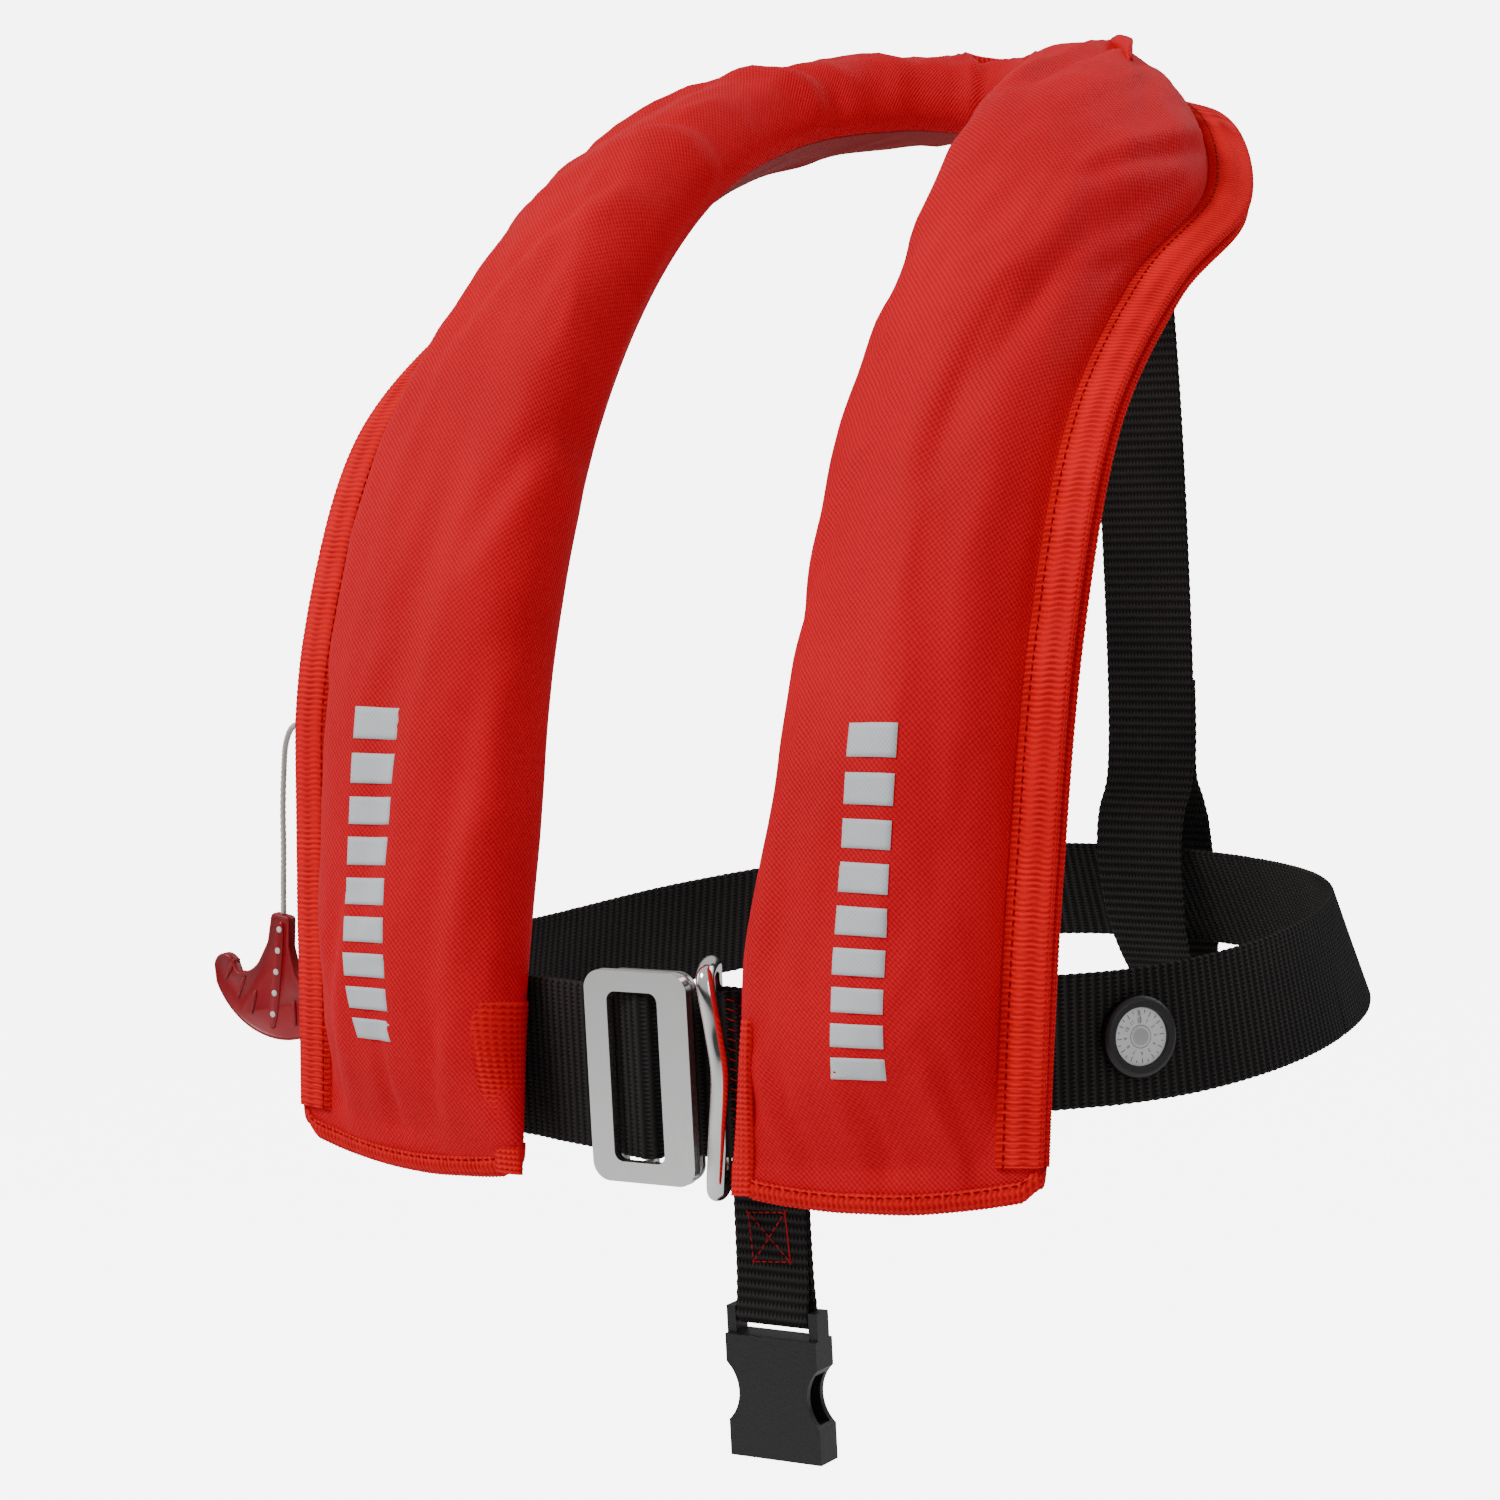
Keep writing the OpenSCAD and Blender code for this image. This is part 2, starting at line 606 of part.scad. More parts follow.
module piercing_pin() {
    color([0.75, 0.76, 0.78])
    at_inflator() union() {
        translate([0, 0, -4.5]) cylinder(r = 2, h = 7);
        translate([0, 0, 1.8]) cylinder(r = 3.3, h = 1.4);
        translate([0, 0, -7.5]) cylinder(r1 = 0.3, r2 = 1.2, h = 3);
    }
}

// Coil of wire of radius r that climbs from z by h.
module coil(r, wire, z, h, turns) {
    skin([for (i = [0:10 * turns]) let (q = 36 * i)
        tube_ring([r * cos(q), r * sin(q), z + h * i / 10 / turns],
                  [-sin(q), cos(q), h / turns / 6.28 / r], wire, [0, 0, 1])]);
}

module piercing_spring() {
    color([0.8, 0.8, 0.82])
    at_inflator() coil(3, 0.35, -2.5, 3.8, 3);
}

module safety_clip() {
    color([0.1, 0.6, 0.25])
    at_inflator() union() {
        translate([-17.6, -2.2, pivot_z + 1.9]) cube([5, 4.4, 1.4]);
        translate([-17.6, -0.8, pivot_z + 3.3]) cube([2, 1.6, 2]);
    }
}

module manifold_flange() {
    color([0.2, 0.2, 0.2])
    at_inflator() difference() {
        union() {
            along_y(port_x, 0, 10.4, 10, 2.6);
            along_y(port_x, 0, -3, 4.5, 14);
        }
        along_y(port_x, 0, -4, 2, 15);
    }
}

module gasket(y) {
    color([0.05, 0.05, 0.05])
    at_inflator() difference() {
        along_y(port_x, 0, y, 8, 1.2);
        along_y(port_x, 0, y - 1, 4.6, 4);
    }
}

module gasket_rear() {
    gasket(9.1);
}

module gasket_front() {
    gasket(0.7);
}

module dome_nut() {
    color([0.75, 0.76, 0.78])
    at_inflator() difference() {
        union() {
            along_y(port_x, 0, -4, 7, 4.6);
            translate([port_x, -4, 0]) rotate([90, 0, 0]) cylinder(r1 = 7, r2 = 4, h = 2.5);
        }
        along_y(port_x, 0, -3.6, 4.55, 8);
    }
}

// Oral tube in the left lobe, for topping up by mouth.
oral_at = [92, -215, -144];
oral_tilt = -24;
valve_r = 5.6;
module at_oral() {
    translate(oral_at) rotate([oral_tilt, 0, 0]) children();
}

module oral_flange() {
    color([0.9, 0.75, 0.15])
    at_oral() difference() {
        union() {
            along_y(0, -20, 4.6, 9, 1.2);
            along_y(0, -20, 0, 5, 5);
            translate([0, 0, -25.6]) cylinder(r = valve_r, h = 11);
        }
        translate([0, 0, -20]) cylinder(r = tube_r, h = 8);
        along_y(0, -20, -1, 2.4, 8);
    }
}

module oral_tube() {
    color([0.1, 0.1, 0.1])
    at_oral() difference() {
        translate([0, 0, -20]) cylinder(r = tube_r, h = 34);
        translate([0, 0, -21]) cylinder(r = 2.8, h = 36);
    }
}

module oral_valve_body() {
    color([0.8, 0.12, 0.1])
    at_oral() difference() {
        translate([0, 0, 10]) cylinder(r = valve_r, h = 20);
        translate([0, 0, 9]) cylinder(r = tube_r, h = 5);
        translate([0, 0, 13]) cylinder(r = 1.56, h = 5);
        translate([0, 0, 16.5]) cylinder(r = 3.8, h = 15);
        for (i = [0:2])
            rotate([0, 0, i * 120]) translate([2.55, 0, 13]) cylinder(r = 0.5, h = 5);
    }
}

module valve_poppet() {
    color([0.85, 0.85, 0.86])
    at_oral() union() {
        translate([0, 0, 13.2]) cylinder(r = 1.5, h = 14);
        translate([0, 0, 27]) cylinder(r = 3.6, h = 1.4);
    }
}

module valve_spring() {
    color([0.8, 0.8, 0.82])
    at_oral() coil(2.6, 0.3, 17, 9.5, 5);
}

module dust_cap() {
    color([0.05, 0.05, 0.05])
    at_oral() difference() {
        translate([0, 0, 23]) cylinder(r = 6.6, h = 10);
        translate([0, 0, 22]) cylinder(r = valve_r + 0.06, h = 9);
    }
}

// Whistle on a moulded strap round the oral tube.
post = [-17, -4];
module whistle_strap() {
    color([0.1, 0.1, 0.1])
    at_oral() union() {
        difference() {
            union() {
                translate([0, 0, -6]) cylinder(r = 5.8, h = 4);
                translate([-13, -1.5, -6]) cube([9, 3, 4]);
            }
            translate([0, 0, -7]) cylinder(r = tube_r, h = 6);
        }
        translate([-19, -1.5, -6]) cube([6.4, 1.2, 4]);
        along_y(post.x, post.y, -1.5, 1.4, 6);
    }
}

module whistle() {
    color([0.95, 0.55, 0.05])
    at_oral() difference() {
        union() {
            along_y(post.x, post.y, 0, 3.4, 3.6);
            translate([post.x - 3.4, 0, post.y - 10]) cube([6.8, 3.6, 10]);
            translate([post.x - 7.5, -3.4, -44]) cube([15, 7.4, 31]);
        }
        along_y(post.x, post.y, -1, 1.46, 6);
        translate([post.x - 6, -2, -45]) cube([12, 4.6, 14]);
        translate([post.x - 6, -6, -29]) cube([12, 5, 3]);
    }
}

// Pull handle below the edge of the right lobe, with its cord.
handle_at = [-162, -203, -254];
handle_tilt = 10;
module at_handle() {
    translate(handle_at) rotate([0, handle_tilt, 0]) children();
}

// Half outline of the handle: stem, hooked arm and curved foot.
handle_half = concat(
    arc([2.5, -1.5], 1.5, 90, 0, 4), [[4.6, -10]], arc([17, -12.5], 10.5, 200, 265),
    arc([21.5, -22.5], 4.5, 140, -20), arc([0, -13], 29, -32, -88, 16));
module pull_handle() {
    outline = concat(handle_half, [for (p = rev(handle_half)) [-p.x, p.y]]);
    color([0.6, 0.04, 0.08])
    at_handle() rotate([90, 0, 0]) translate([0, 0, -handle_t / 2]) difference() {
        linear_extrude(handle_t) polygon(outline);
        for (i = [0:4]) translate([0, -5 - 7.2 * i, -1]) cylinder(r = 0.9, h = handle_t + 2);
    }
}

// Route of the pull cord from the lever's tip, out of the closed edge, to the handle.
cord_route = [
    [-107, -219.2, -169.7], [-107, -220.4, -175], [-107.6, -220.6, -180.5],
    [-110.4, -218.8, -186], [-116, -217, -188.8], [-123, -216.6, -189.1], [-130, -216.5, -189],
    [-137.5, -216.4, -189.1], [-144, -214.6, -191], [-150, -211, -197], [-154, -208, -206.5],
    [-157, -206, -219], [-159, -204.5, -232], [-161, -203.3, -244], [-162, -203, -254]];
module pull_cord() {
    n = len(cord_route) - 1;
    color([0.95, 0.95, 0.95])
    skin([for (i = [0:3 * n]) let (s = i / 3)
        tube_ring(at(cord_route, s),
                  at(cord_route, min(s + 0.05, n)) - at(cord_route, max(s - 0.05, 0)), cord_r)]);
}

cover_front();
cover_back();
binding_front();
binding_back();
hem_left();
hem_right();
closure_hook();
closure_loop();
print_left();
print_right();
bladder();
bladder_reflectors();
lifting_becket();
waist_belt();
belt_loop_left();
belt_loop_right();
front_tape_left();
front_tape_right();
buckle_frame();
buckle_plate();
harness_ring();
back_strap();
rear_socket();
crotch_tab();
crotch_socket();
dial_ring();
dial_disc();
dial_rivet();
inflator_body();
gas_cylinder();
inflator_cap();
inflator_lever();
lever_pin();
piercing_pin();
piercing_spring();
safety_clip();
manifold_flange();
gasket_rear();
gasket_front();
dome_nut();
oral_flange();
oral_tube();
oral_valve_body();
valve_poppet();
valve_spring();
dust_cap();
whistle_strap();
whistle();
pull_handle();
pull_cord();
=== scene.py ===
import json
import math

import bmesh
import bpy
from mathutils import Matrix, Vector, noise


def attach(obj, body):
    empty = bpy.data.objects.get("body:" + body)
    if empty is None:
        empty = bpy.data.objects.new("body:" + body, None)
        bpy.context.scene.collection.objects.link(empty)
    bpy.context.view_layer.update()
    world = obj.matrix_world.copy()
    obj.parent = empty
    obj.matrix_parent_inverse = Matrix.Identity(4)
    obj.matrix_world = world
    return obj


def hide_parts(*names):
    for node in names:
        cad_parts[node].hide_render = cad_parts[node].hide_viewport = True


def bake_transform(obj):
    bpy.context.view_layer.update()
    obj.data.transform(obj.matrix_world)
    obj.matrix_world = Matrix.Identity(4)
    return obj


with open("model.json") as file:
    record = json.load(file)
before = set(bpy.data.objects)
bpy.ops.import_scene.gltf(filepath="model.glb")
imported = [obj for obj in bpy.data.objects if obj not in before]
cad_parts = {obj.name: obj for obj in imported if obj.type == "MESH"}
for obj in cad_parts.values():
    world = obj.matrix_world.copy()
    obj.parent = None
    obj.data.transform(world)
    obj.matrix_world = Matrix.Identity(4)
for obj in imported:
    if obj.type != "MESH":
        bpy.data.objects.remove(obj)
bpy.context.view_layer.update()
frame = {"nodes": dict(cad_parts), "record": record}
MM = 0.001
NODES = frame["nodes"]
SLOT_OF = {p["node"]: p["material_slot"] for p in frame["record"]["subparts"]}

# ---------------------------------------------------------------- camera
CAMERA_AT = Vector((0.6765, -1.2186, -0.0520))
YAW, PITCH, ROLL = (math.radians(a) for a in (32.8, -6.8, -2.9))


def make_camera():
    ahead = Vector((-math.sin(YAW) * math.cos(PITCH), math.cos(YAW) * math.cos(PITCH), math.sin(PITCH)))
    right = Vector((math.cos(YAW), math.sin(YAW), 0))
    up = right.cross(ahead)
    r = right * math.cos(ROLL) + up * math.sin(ROLL)
    u = up * math.cos(ROLL) - right * math.sin(ROLL)
    data = bpy.data.cameras.new("camera")
    data.lens, data.sensor_width = 97.3, 36.0
    data.clip_start, data.clip_end = 0.05, 30
    cam = bpy.data.objects.new("camera", data)
    cam.matrix_world = Matrix.Translation(CAMERA_AT) @ Matrix((r, u, -ahead)).transposed().to_4x4()
    bpy.context.collection.objects.link(cam)
    bpy.context.scene.camera = cam


make_camera()

# ---------------------------------------------------------------- materials


class Shader:
    """A node material with a few short ways to add nodes."""

    def __init__(self, name, color, rough, metallic=0.0, **sockets):
        self.m = bpy.data.materials.new(name)
        self.m.use_nodes = True
        self.t = self.m.node_tree
        self.p = self.t.nodes["Principled BSDF"]
        self.p.inputs["Base Color"].default_value = (*color, 1)
        self.p.inputs["Roughness"].default_value = rough
        self.p.inputs["Metallic"].default_value = metallic
        for k, v in sockets.items():
            s = self.p.inputs[k.replace("_", " ")]
            s.default_value = (*v, 1) if isinstance(v, tuple) else v

    def add(self, kind, **values):
        n = self.t.nodes.new(kind)
        for k, v in values.items():
            setattr(n, k, v)
        return n

    def link(self, a, b):
        self.t.links.new(a, b)

    def calc(self, op, a, b=0.0, c=None):
        n = self.add("ShaderNodeMath", operation=op)
        for i, v in enumerate((a, b) if c is None else (a, b, c)):
            if isinstance(v, (int, float)):
                n.inputs[i].default_value = v
            else:
                self.link(v, n.inputs[i])
        return n.outputs[0]

    def uv(self):
        """u and v of the piece's map, in metres."""
        c = self.add("ShaderNodeUVMap", uv_map="cloth")
        s = self.add("ShaderNodeSeparateXYZ")
        self.link(c.outputs[0], s.inputs[0])
        return s.outputs[0], s.outputs[1]

    def place(self, scale=(1, 1, 1)):
        c = self.add("ShaderNodeTexCoord")
        m = self.add("ShaderNodeMapping")
        m.inputs["Scale"].default_value = scale
        self.link(c.outputs["Object"], m.inputs[0])
        return m.outputs[0]

    def noise(self, where, scale, detail=3.0, rough=0.5):
        n = self.add("ShaderNodeTexNoise")
        n.inputs["Scale"].default_value = scale
        n.inputs["Detail"].default_value = detail
        n.inputs["Roughness"].default_value = rough
        self.link(where, n.inputs["Vector"])
        return n.outputs["Fac"]

    def wave(self, x, pitch, shift=0.0):
        """0..1 ripples of x."""
        a = self.calc("MULTIPLY", x, 2 * math.pi / pitch)
        a = self.calc("ADD", a, shift)
        return self.calc("MULTIPLY_ADD", self.calc("SINE", a), 0.5, 0.5)

    def mix(self, fac, *colors):
        n = self.add("ShaderNodeValToRGB")
        r = n.color_ramp
        for i, c in enumerate(colors):
            pos = i / (len(colors) - 1)
            e = r.elements[i] if i < 2 else r.elements.new(pos)
            e.position, e.color = pos, (*c, 1)
        self.link(fac, n.inputs[0])
        return n.outputs[0]

    def color(self, out):
        self.link(out, self.p.inputs["Base Color"])

    def rough(self, fac, low, high):
        self.link(self.calc("MULTIPLY_ADD", fac, high - low, low), self.p.inputs["Roughness"])

    def bump(self, height, distance, strength=1.0):
        b = self.add("ShaderNodeBump")
        b.inputs["Distance"].default_value = distance
        b.inputs["Strength"].default_value = strength
        self.link(height, b.inputs["Height"])
        self.link(b.outputs[0], self.p.inputs["Normal"])


def cloth(name, dark, body, light, pitch, rough=0.6, depth=0.00022, sheen=0.0):
    """Coated woven cloth: a basket of raised threads on the diagonal, soft blotches. Its colour is darker in
    the weave's valleys and lighter on its crests, a painted shade and painted highlight; the blotches are
    random tone.
    """
    s = Shader(name, body, rough, Sheen_Weight=sheen, Sheen_Roughness=0.5, Sheen_Tint=light,
               Specular_IOR_Level=0.12)
    u, v = s.uv()
    a, b = s.calc("ADD", u, v), s.calc("SUBTRACT", u, v)
    weave = s.calc("MULTIPLY_ADD", s.wave(a, pitch), 0.7, s.calc("MULTIPLY", s.wave(b, pitch * 1.1), 0.3))
    cloud = s.noise(s.place(), 14, 4)
    grain = s.noise(s.place(), 900, 2)
    # Colour follows the weave: painted shade in its valleys, painted highlight on its crests; cloud and grain
    # add random tone.
    f = s.calc("MULTIPLY_ADD", weave, 0.42, s.calc("MULTIPLY", cloud, 0.5))
    f = s.calc("MULTIPLY_ADD", grain, 0.15, f)
    s.color(s.mix(f, dark, body, light))
    s.rough(cloud, rough - 0.1, rough + 0.1)
    s.bump(s.calc("MULTIPLY_ADD", grain, 0.3, weave), depth, 0.9)
    return s.m


def ribbed(name, dark, body, light, pitch, wander, rough=0.7, depth=0.0003, sheen=0.0):
    """Woven tape: raised ribs across its width, each broken by the warp threads. Its colour is darker between
    the ribs and lighter on them, a painted shade and painted highlight; cloud and fuzz add random tone.
    """
    s = Shader(name, body, rough, Sheen_Weight=sheen, Sheen_Roughness=0.5, Sheen_Tint=light,
               Specular_IOR_Level=0.12)
    u, v = s.uv()
    warp = s.wave(v, wander)
    rib = s.wave(u, pitch, 0.0)
    shifted = s.wave(s.calc("MULTIPLY_ADD", warp, pitch * 0.3, u), pitch)
    h = s.calc("MULTIPLY_ADD", warp, 0.35, s.calc("MULTIPLY_ADD", shifted, 0.6, s.calc("MULTIPLY", rib, 0.2)))
    fuzz = s.noise(s.place(), 1400, 2)
    cloud = s.noise(s.place(), 22, 3)
    # Colour follows the rib height h: painted shade in the grooves, painted highlight on the ribs.
    f = s.calc("MULTIPLY_ADD", h, 0.55, s.calc("MULTIPLY", cloud, 0.35))
    f = s.calc("MULTIPLY_ADD", fuzz, 0.2, f)
    s.color(s.mix(f, dark, body, light))
    s.rough(fuzz, rough - 0.1, rough + 0.12)
    s.bump(s.calc("MULTIPLY_ADD", fuzz, 0.25, h), depth, 0.9)
    return s.m


def metal(name, color, low, high, scale=(1, 1, 1)):
    """Brushed or polished metal with fine scratches and smears."""
    s = Shader(name, color, low, 1.0)
    line = s.noise(s.place(scale), 260, 4, 0.7)
    smear = s.noise(s.place(), 35, 3)
    s.color(s.mix(line, tuple(c * 0.86 for c in color), color))
    s.rough(s.calc("MULTIPLY_ADD", line, 0.6, s.calc("MULTIPLY", smear, 0.4)), low, high)
    s.bump(line, 0.00002, 0.5)
    return s.m


def plastic(name, dark, light, rough, speck=0.25, grain=2600, depth=0.00005):
    """Moulded plastic with a spark-eroded skin, its colour lighter where the fine grain stands high and in
    soft random clouds.
    """
    s = Shader(name, light, rough, IOR=1.48)
    fine = s.noise(s.place(), grain, 2)
    cloud = s.noise(s.place(), 60, 3)
    f = s.calc("MULTIPLY_ADD", fine, speck, s.calc("MULTIPLY", cloud, 1 - speck))
    s.color(s.mix(f, dark, light))
    s.rough(cloud, rough - 0.07, rough + 0.1)
    s.bump(fine, depth, 0.8)
    return s.m


# Cloth colours run dark, body, light: dark is the painted shade in the weave's valleys and light the painted
# highlight on its crests, with random clouds between.
RED = dict(dark=(0.26, 0.0, 0.003), body=(0.62, 0.0, 0.010), light=(0.92, 0.002, 0.018))
BLACK = dict(dark=(0.001, 0.001, 0.001), body=(0.007, 0.006, 0.006), light=(0.045, 0.040, 0.037))
MATERIALS = {
    "cover_red": cloth("cover_cloth", pitch=0.0016, **RED),
    "cover_inner": cloth("inner_cloth", (0.10, 0.0, 0.0), (0.26, 0.0, 0.0), (0.42, 0.0, 0.001), 0.0016),
    "binding_red": ribbed("binding_tape", (0.26, 0.0, 0.002), (0.66, 0.0, 0.006), (0.98, 0.006, 0.012),
                          0.0017, 0.0023),
    "touch_tape": ribbed("touch_tape", (0.004, 0.004, 0.005), (0.012, 0.012, 0.013), (0.05, 0.05, 0.052),
                         0.0009, 0.0009),
    "reflective": cloth("reflective_film", (0.42, 0.44, 0.46), (0.62, 0.64, 0.66), (0.80, 0.82, 0.84),
                        0.0012, 0.35, 0.00006, 0.0),
    "bladder_yellow": cloth("bladder_cloth", (0.60, 0.32, 0.01), (0.80, 0.45, 0.02), (0.90, 0.58, 0.05),
                            0.0006),
    "webbing_black": ribbed("webbing", pitch=0.0030, wander=0.0013, depth=0.0005, **BLACK),
    "steel": metal("polished_steel", (0.90, 0.89, 0.88), 0.06, 0.18, (1, 1, 0.08)),
    "black_plastic": plastic("black_plastic", (0.002, 0.002, 0.002), (0.012, 0.011, 0.011), 0.36, 0.5,
                             1500, 0.00015),
    "white_plastic": plastic("white_plastic", (0.60, 0.62, 0.64), (0.78, 0.79, 0.80), 0.42),
    "grey_cylinder": plastic("cylinder_paint", (0.25, 0.27, 0.30), (0.36, 0.38, 0.41), 0.35),
    "red_plastic": plastic("red_plastic", (0.22, 0.001, 0.006), (0.36, 0.002, 0.010), 0.36, 0.3),
    "green_plastic": plastic("green_plastic", (0.02, 0.22, 0.05), (0.04, 0.36, 0.09), 0.35),
    "rubber_black": plastic("rubber", (0.008, 0.008, 0.008), (0.020, 0.020, 0.021), 0.62),
    "yellow_plastic": plastic("yellow_plastic", (0.55, 0.28, 0.02), (0.72, 0.40, 0.03), 0.45),
    "orange_plastic": plastic("orange_plastic", (0.62, 0.14, 0.01), (0.80, 0.22, 0.015), 0.3),
    "cord_white": cloth("cord_fibre", (0.55, 0.55, 0.52), (0.74, 0.74, 0.72), (0.85, 0.85, 0.83), 0.0006),
}
EXTRA = {
    "red_thread": cloth("red_thread", (0.35, 0.004, 0.01), (0.62, 0.012, 0.02), (0.75, 0.04, 0.05), 0.0005),
    "cover_thread": cloth("cover_thread", (0.16, 0.0, 0.001), (0.30, 0.001, 0.002), (0.45, 0.004, 0.004),
                          0.0005),
    "dark_steel": metal("dark_steel", (0.36, 0.35, 0.35), 0.14, 0.30, (1, 1, 0.08)),
    "brushed_face": metal("brushed_face", (0.92, 0.91, 0.90), 0.16, 0.34, (1, 1, 0.04)),
    "dial_ink": plastic("dial_ink", (0.16, 0.17, 0.18), (0.24, 0.25, 0.26), 0.5),
}
for n, o in NODES.items():
    o.data.materials.clear()
    o.data.materials.append(MATERIALS[SLOT_OF[n]])

# ---------------------------------------------------------------- mesh helpers


def new_piece(name, verts, faces, material, body="jacket", node=None, uvs=None, smooth=True):
    """A piece in mm coordinates that rides on a body and stands for a CAD node."""
    me = bpy.data.meshes.new(name)
    me.from_pydata([Vector(v) * MM for v in verts], [], faces)
    me.validate()
    if uvs is not None:
        layer = me.uv_layers.new(name="cloth")
        for loop in me.loops:
            layer.data[loop.index].uv = uvs[loop.vertex_index]
    if smooth:
        me.polygons.foreach_set("use_smooth", [True] * len(me.polygons))
    me.materials.append(material)
    o = bpy.data.objects.new(name, me)
    bpy.context.collection.objects.link(o)
    return settle(o, body, node)


def settle(o, body, nodes):
    nodes = [nodes] if isinstance(nodes, str) else list(nodes or [])
    if body:
        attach(o, body)
    if nodes:
        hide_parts(*nodes)
    return o


def modify(o, kind, **values):
    m = o.modifiers.new(kind.lower(), kind)
    for k, v in values.items():
        setattr(m, k, v)
    return m


def apply_all(o):
    """Turns the piece's modifiers into its mesh."""
    deps = bpy.context.evaluated_depsgraph_get()
    me = bpy.data.meshes.new_from_object(o.evaluated_get(deps))
    old = o.data
    o.modifiers.clear()
    o.data = me
    bpy.data.meshes.remove(old)


def sew_rings(rings, loop=False, cap=True):
    """Quads through closed rings of points, with end caps."""
    m, n = len(rings[0]), len(rings)
    verts = [p for r in rings for p in r]
    faces = []
    for i in range(n if loop else n - 1):
        a, b = i * m, (i + 1) % n * m
        faces += [(a + j, a + (j + 1) % m, b + (j + 1) % m, b + j) for j in range(m)]
    if cap and not loop:
        faces.append(tuple(range(m - 1, -1, -1)))
        faces.append(tuple((n - 1) * m + j for j in range(m)))
    return verts, faces


def band(b, n, flip=False):
    """Quads between the ring of n points at b and the ring after it."""
    faces = [(b + j, b + (j + 1) % n, b + n + (j + 1) % n, b + n + j) for j in range(n)]
    return [f[::-1] for f in faces] if flip else faces


def grid(rows):
    """Open sheet of quads through rows of points."""
    m = len(rows[0])
    verts = [p for r in rows for p in r]
    faces = [(i * m + j, i * m + j + 1, (i + 1) * m + j + 1, (i + 1) * m + j)
             for i in range(len(rows) - 1) for j in range(m - 1)]
    return verts, faces


def at(points, s):
    """Smooth curve through points or numbers, as the CAD source has it."""
    n = len(points)
    i = min(max(math.floor(s), 0), n - 2)
    b, c = points[i], points[i + 1]
    a = points[i - 1] if i > 0 else 2 * b - c
    d = points[i + 2] if i < n - 2 else 2 * c - b
    t = s - i
    return 0.5 * (2 * b + (c - a) * t + (2 * a - 5 * b + 4 * c - d) * (t * t)
                  + (3 * b - a - 3 * c + d) * (t * t * t))


def resample(points, gap, smooth=8):
    """Points every gap mm along the smooth curve through points."""
    pts = [Vector(p) for p in points]
    fine = [at(pts, i / smooth) for i in range((len(pts) - 1) * smooth + 1)]
    length = [0.0]
    for a, b in zip(fine, fine[1:]):
        length.append(length[-1] + (b - a).length)
    n = max(2, round(length[-1] / gap))
    out, k = [], 0
    for i in range(n + 1):
        d = length[-1] * i / n
        while k < len(fine) - 2 and length[k + 1] < d:
            k += 1
        f = (d - length[k]) / max(1e-9, length[k + 1] - length[k])
        out.append(fine[k].lerp(fine[k + 1], min(1, max(0, f))))
    return out


def bump01(x):
    """1 at 0, falling smoothly to 0 at 1 and beyond."""
    x = min(1.0, abs(x))
    return (1 - x * x) ** 2


# ---------------------------------------------------------------- the cover
INNER_HALF = [(0, 0, 0), (26, -16, 3), (42, -56, 0), (49, -105, -17), (51, -148, -54),
              (50, -182, -107), (48, -210, -167), (45, -228, -222), (42, -240, -272), (39, -248, -312)]
OUTER_HALF = [(0, 66, -10), (50, 40, -8), (100, -18, -18), (128, -68, -43), (132, -125, -66),
              (137, -180, -104), (138, -210, -164), (136, -222, -225), (134, -228, -273), (133, -232, -309)]
PUFF_HALF = [30, 30, 34, 38, 40, 42, 42, 42, 38, 10]
DEPTH_HALF = [11.4, 11.4, 12.9, 14.4, 15.2, 16, 16, 14.5, 7.4, 3.6]
LAST = 9
S_END = 18.0
S_EXIT = 15.4
FABRIC, BIND_W, BIND_T, CLOSE = 1.0, 14.0, 0.7, 1.2
STATION_MM = 52.0
MEAN_WIDTH_MM = 92.0
HEM_REACH = 9.5
HEM_STATION_MM = 41.0


def both(half, flip=False):
    if not flip:
        return [half[i] for i in range(LAST, 0, -1)] + list(half)
    left = [Vector(p) for p in half]
    return [left[i] for i in range(LAST, 0, -1)] + [Vector((-p.x, p.y, p.z)) for p in left]


INNER, OUTER = both(INNER_HALF, True), both(OUTER_HALF, True)
PUFF, DEPTH = both(PUFF_HALF), both(DEPTH_HALF)


def middle(s):
    return (at(INNER, s) + at(OUTER, s)) / 2


class Station:
    """The frame of the cover at one station; s below 0 or above 18 runs on past a hem, in mm."""

    def __init__(self, s):
        over = -s if s < 0 else max(0.0, s - S_END)
        side = -1 if s < 0 else 1
        self.s = c = min(max(s, 0.0), S_END)
        self.along = (middle(c + 0.02) - middle(c - 0.02)).normalized()
        a, b = at(INNER, c), at(OUTER, c)
        self.w = (b - a).length
        self.x = (b - a).normalized()
        self.n = self.x.cross(self.along).normalized()
        self.o = a + self.along * (side * over)
        self.over = over
        self.t, self.d = at(PUFF, c), at(DEPTH, c)
        self.gap = CLOSE + 1.4 * max(0.0, 1 - abs(c - S_EXIT) / 0.8)

    def place(self, u, n):
        return self.o + self.x * u + self.n * n


def stations(a, b, per=16):
    return [Station(i / per) for i in range(round(a * per), round(b * per) + 1)]


def front_profile(k):
    g = k.gap + BIND_T + FABRIC
    w, t, d = k.w, k.t, k.d
    return [(6, -0.97 * d), (1.5, -0.58 * d), (0, 0.02 * t), (2, 0.28 * t), (9, 0.46 * t),
            (24, 0.57 * t), (0.46 * w, 0.6 * t), (w - 38, 0.57 * t), (w - 26, max(0.45 * t, g)),
            (w - 18, max(0.24 * t, g)), (w - BIND_W - 0.5, g), (w - 0.9, g)]


def back_profile(k):
    g = k.gap + BIND_T + FABRIC
    w, d = k.w, k.d
    return [(6, -0.97 * d), (20, -d), (w / 2, -d), (w - 28, -max(0.95 * d, g)),
            (w - 19, -max(0.58 * d, g)), (w - BIND_W - 0.5, -g), (w - 0.9, -g)]


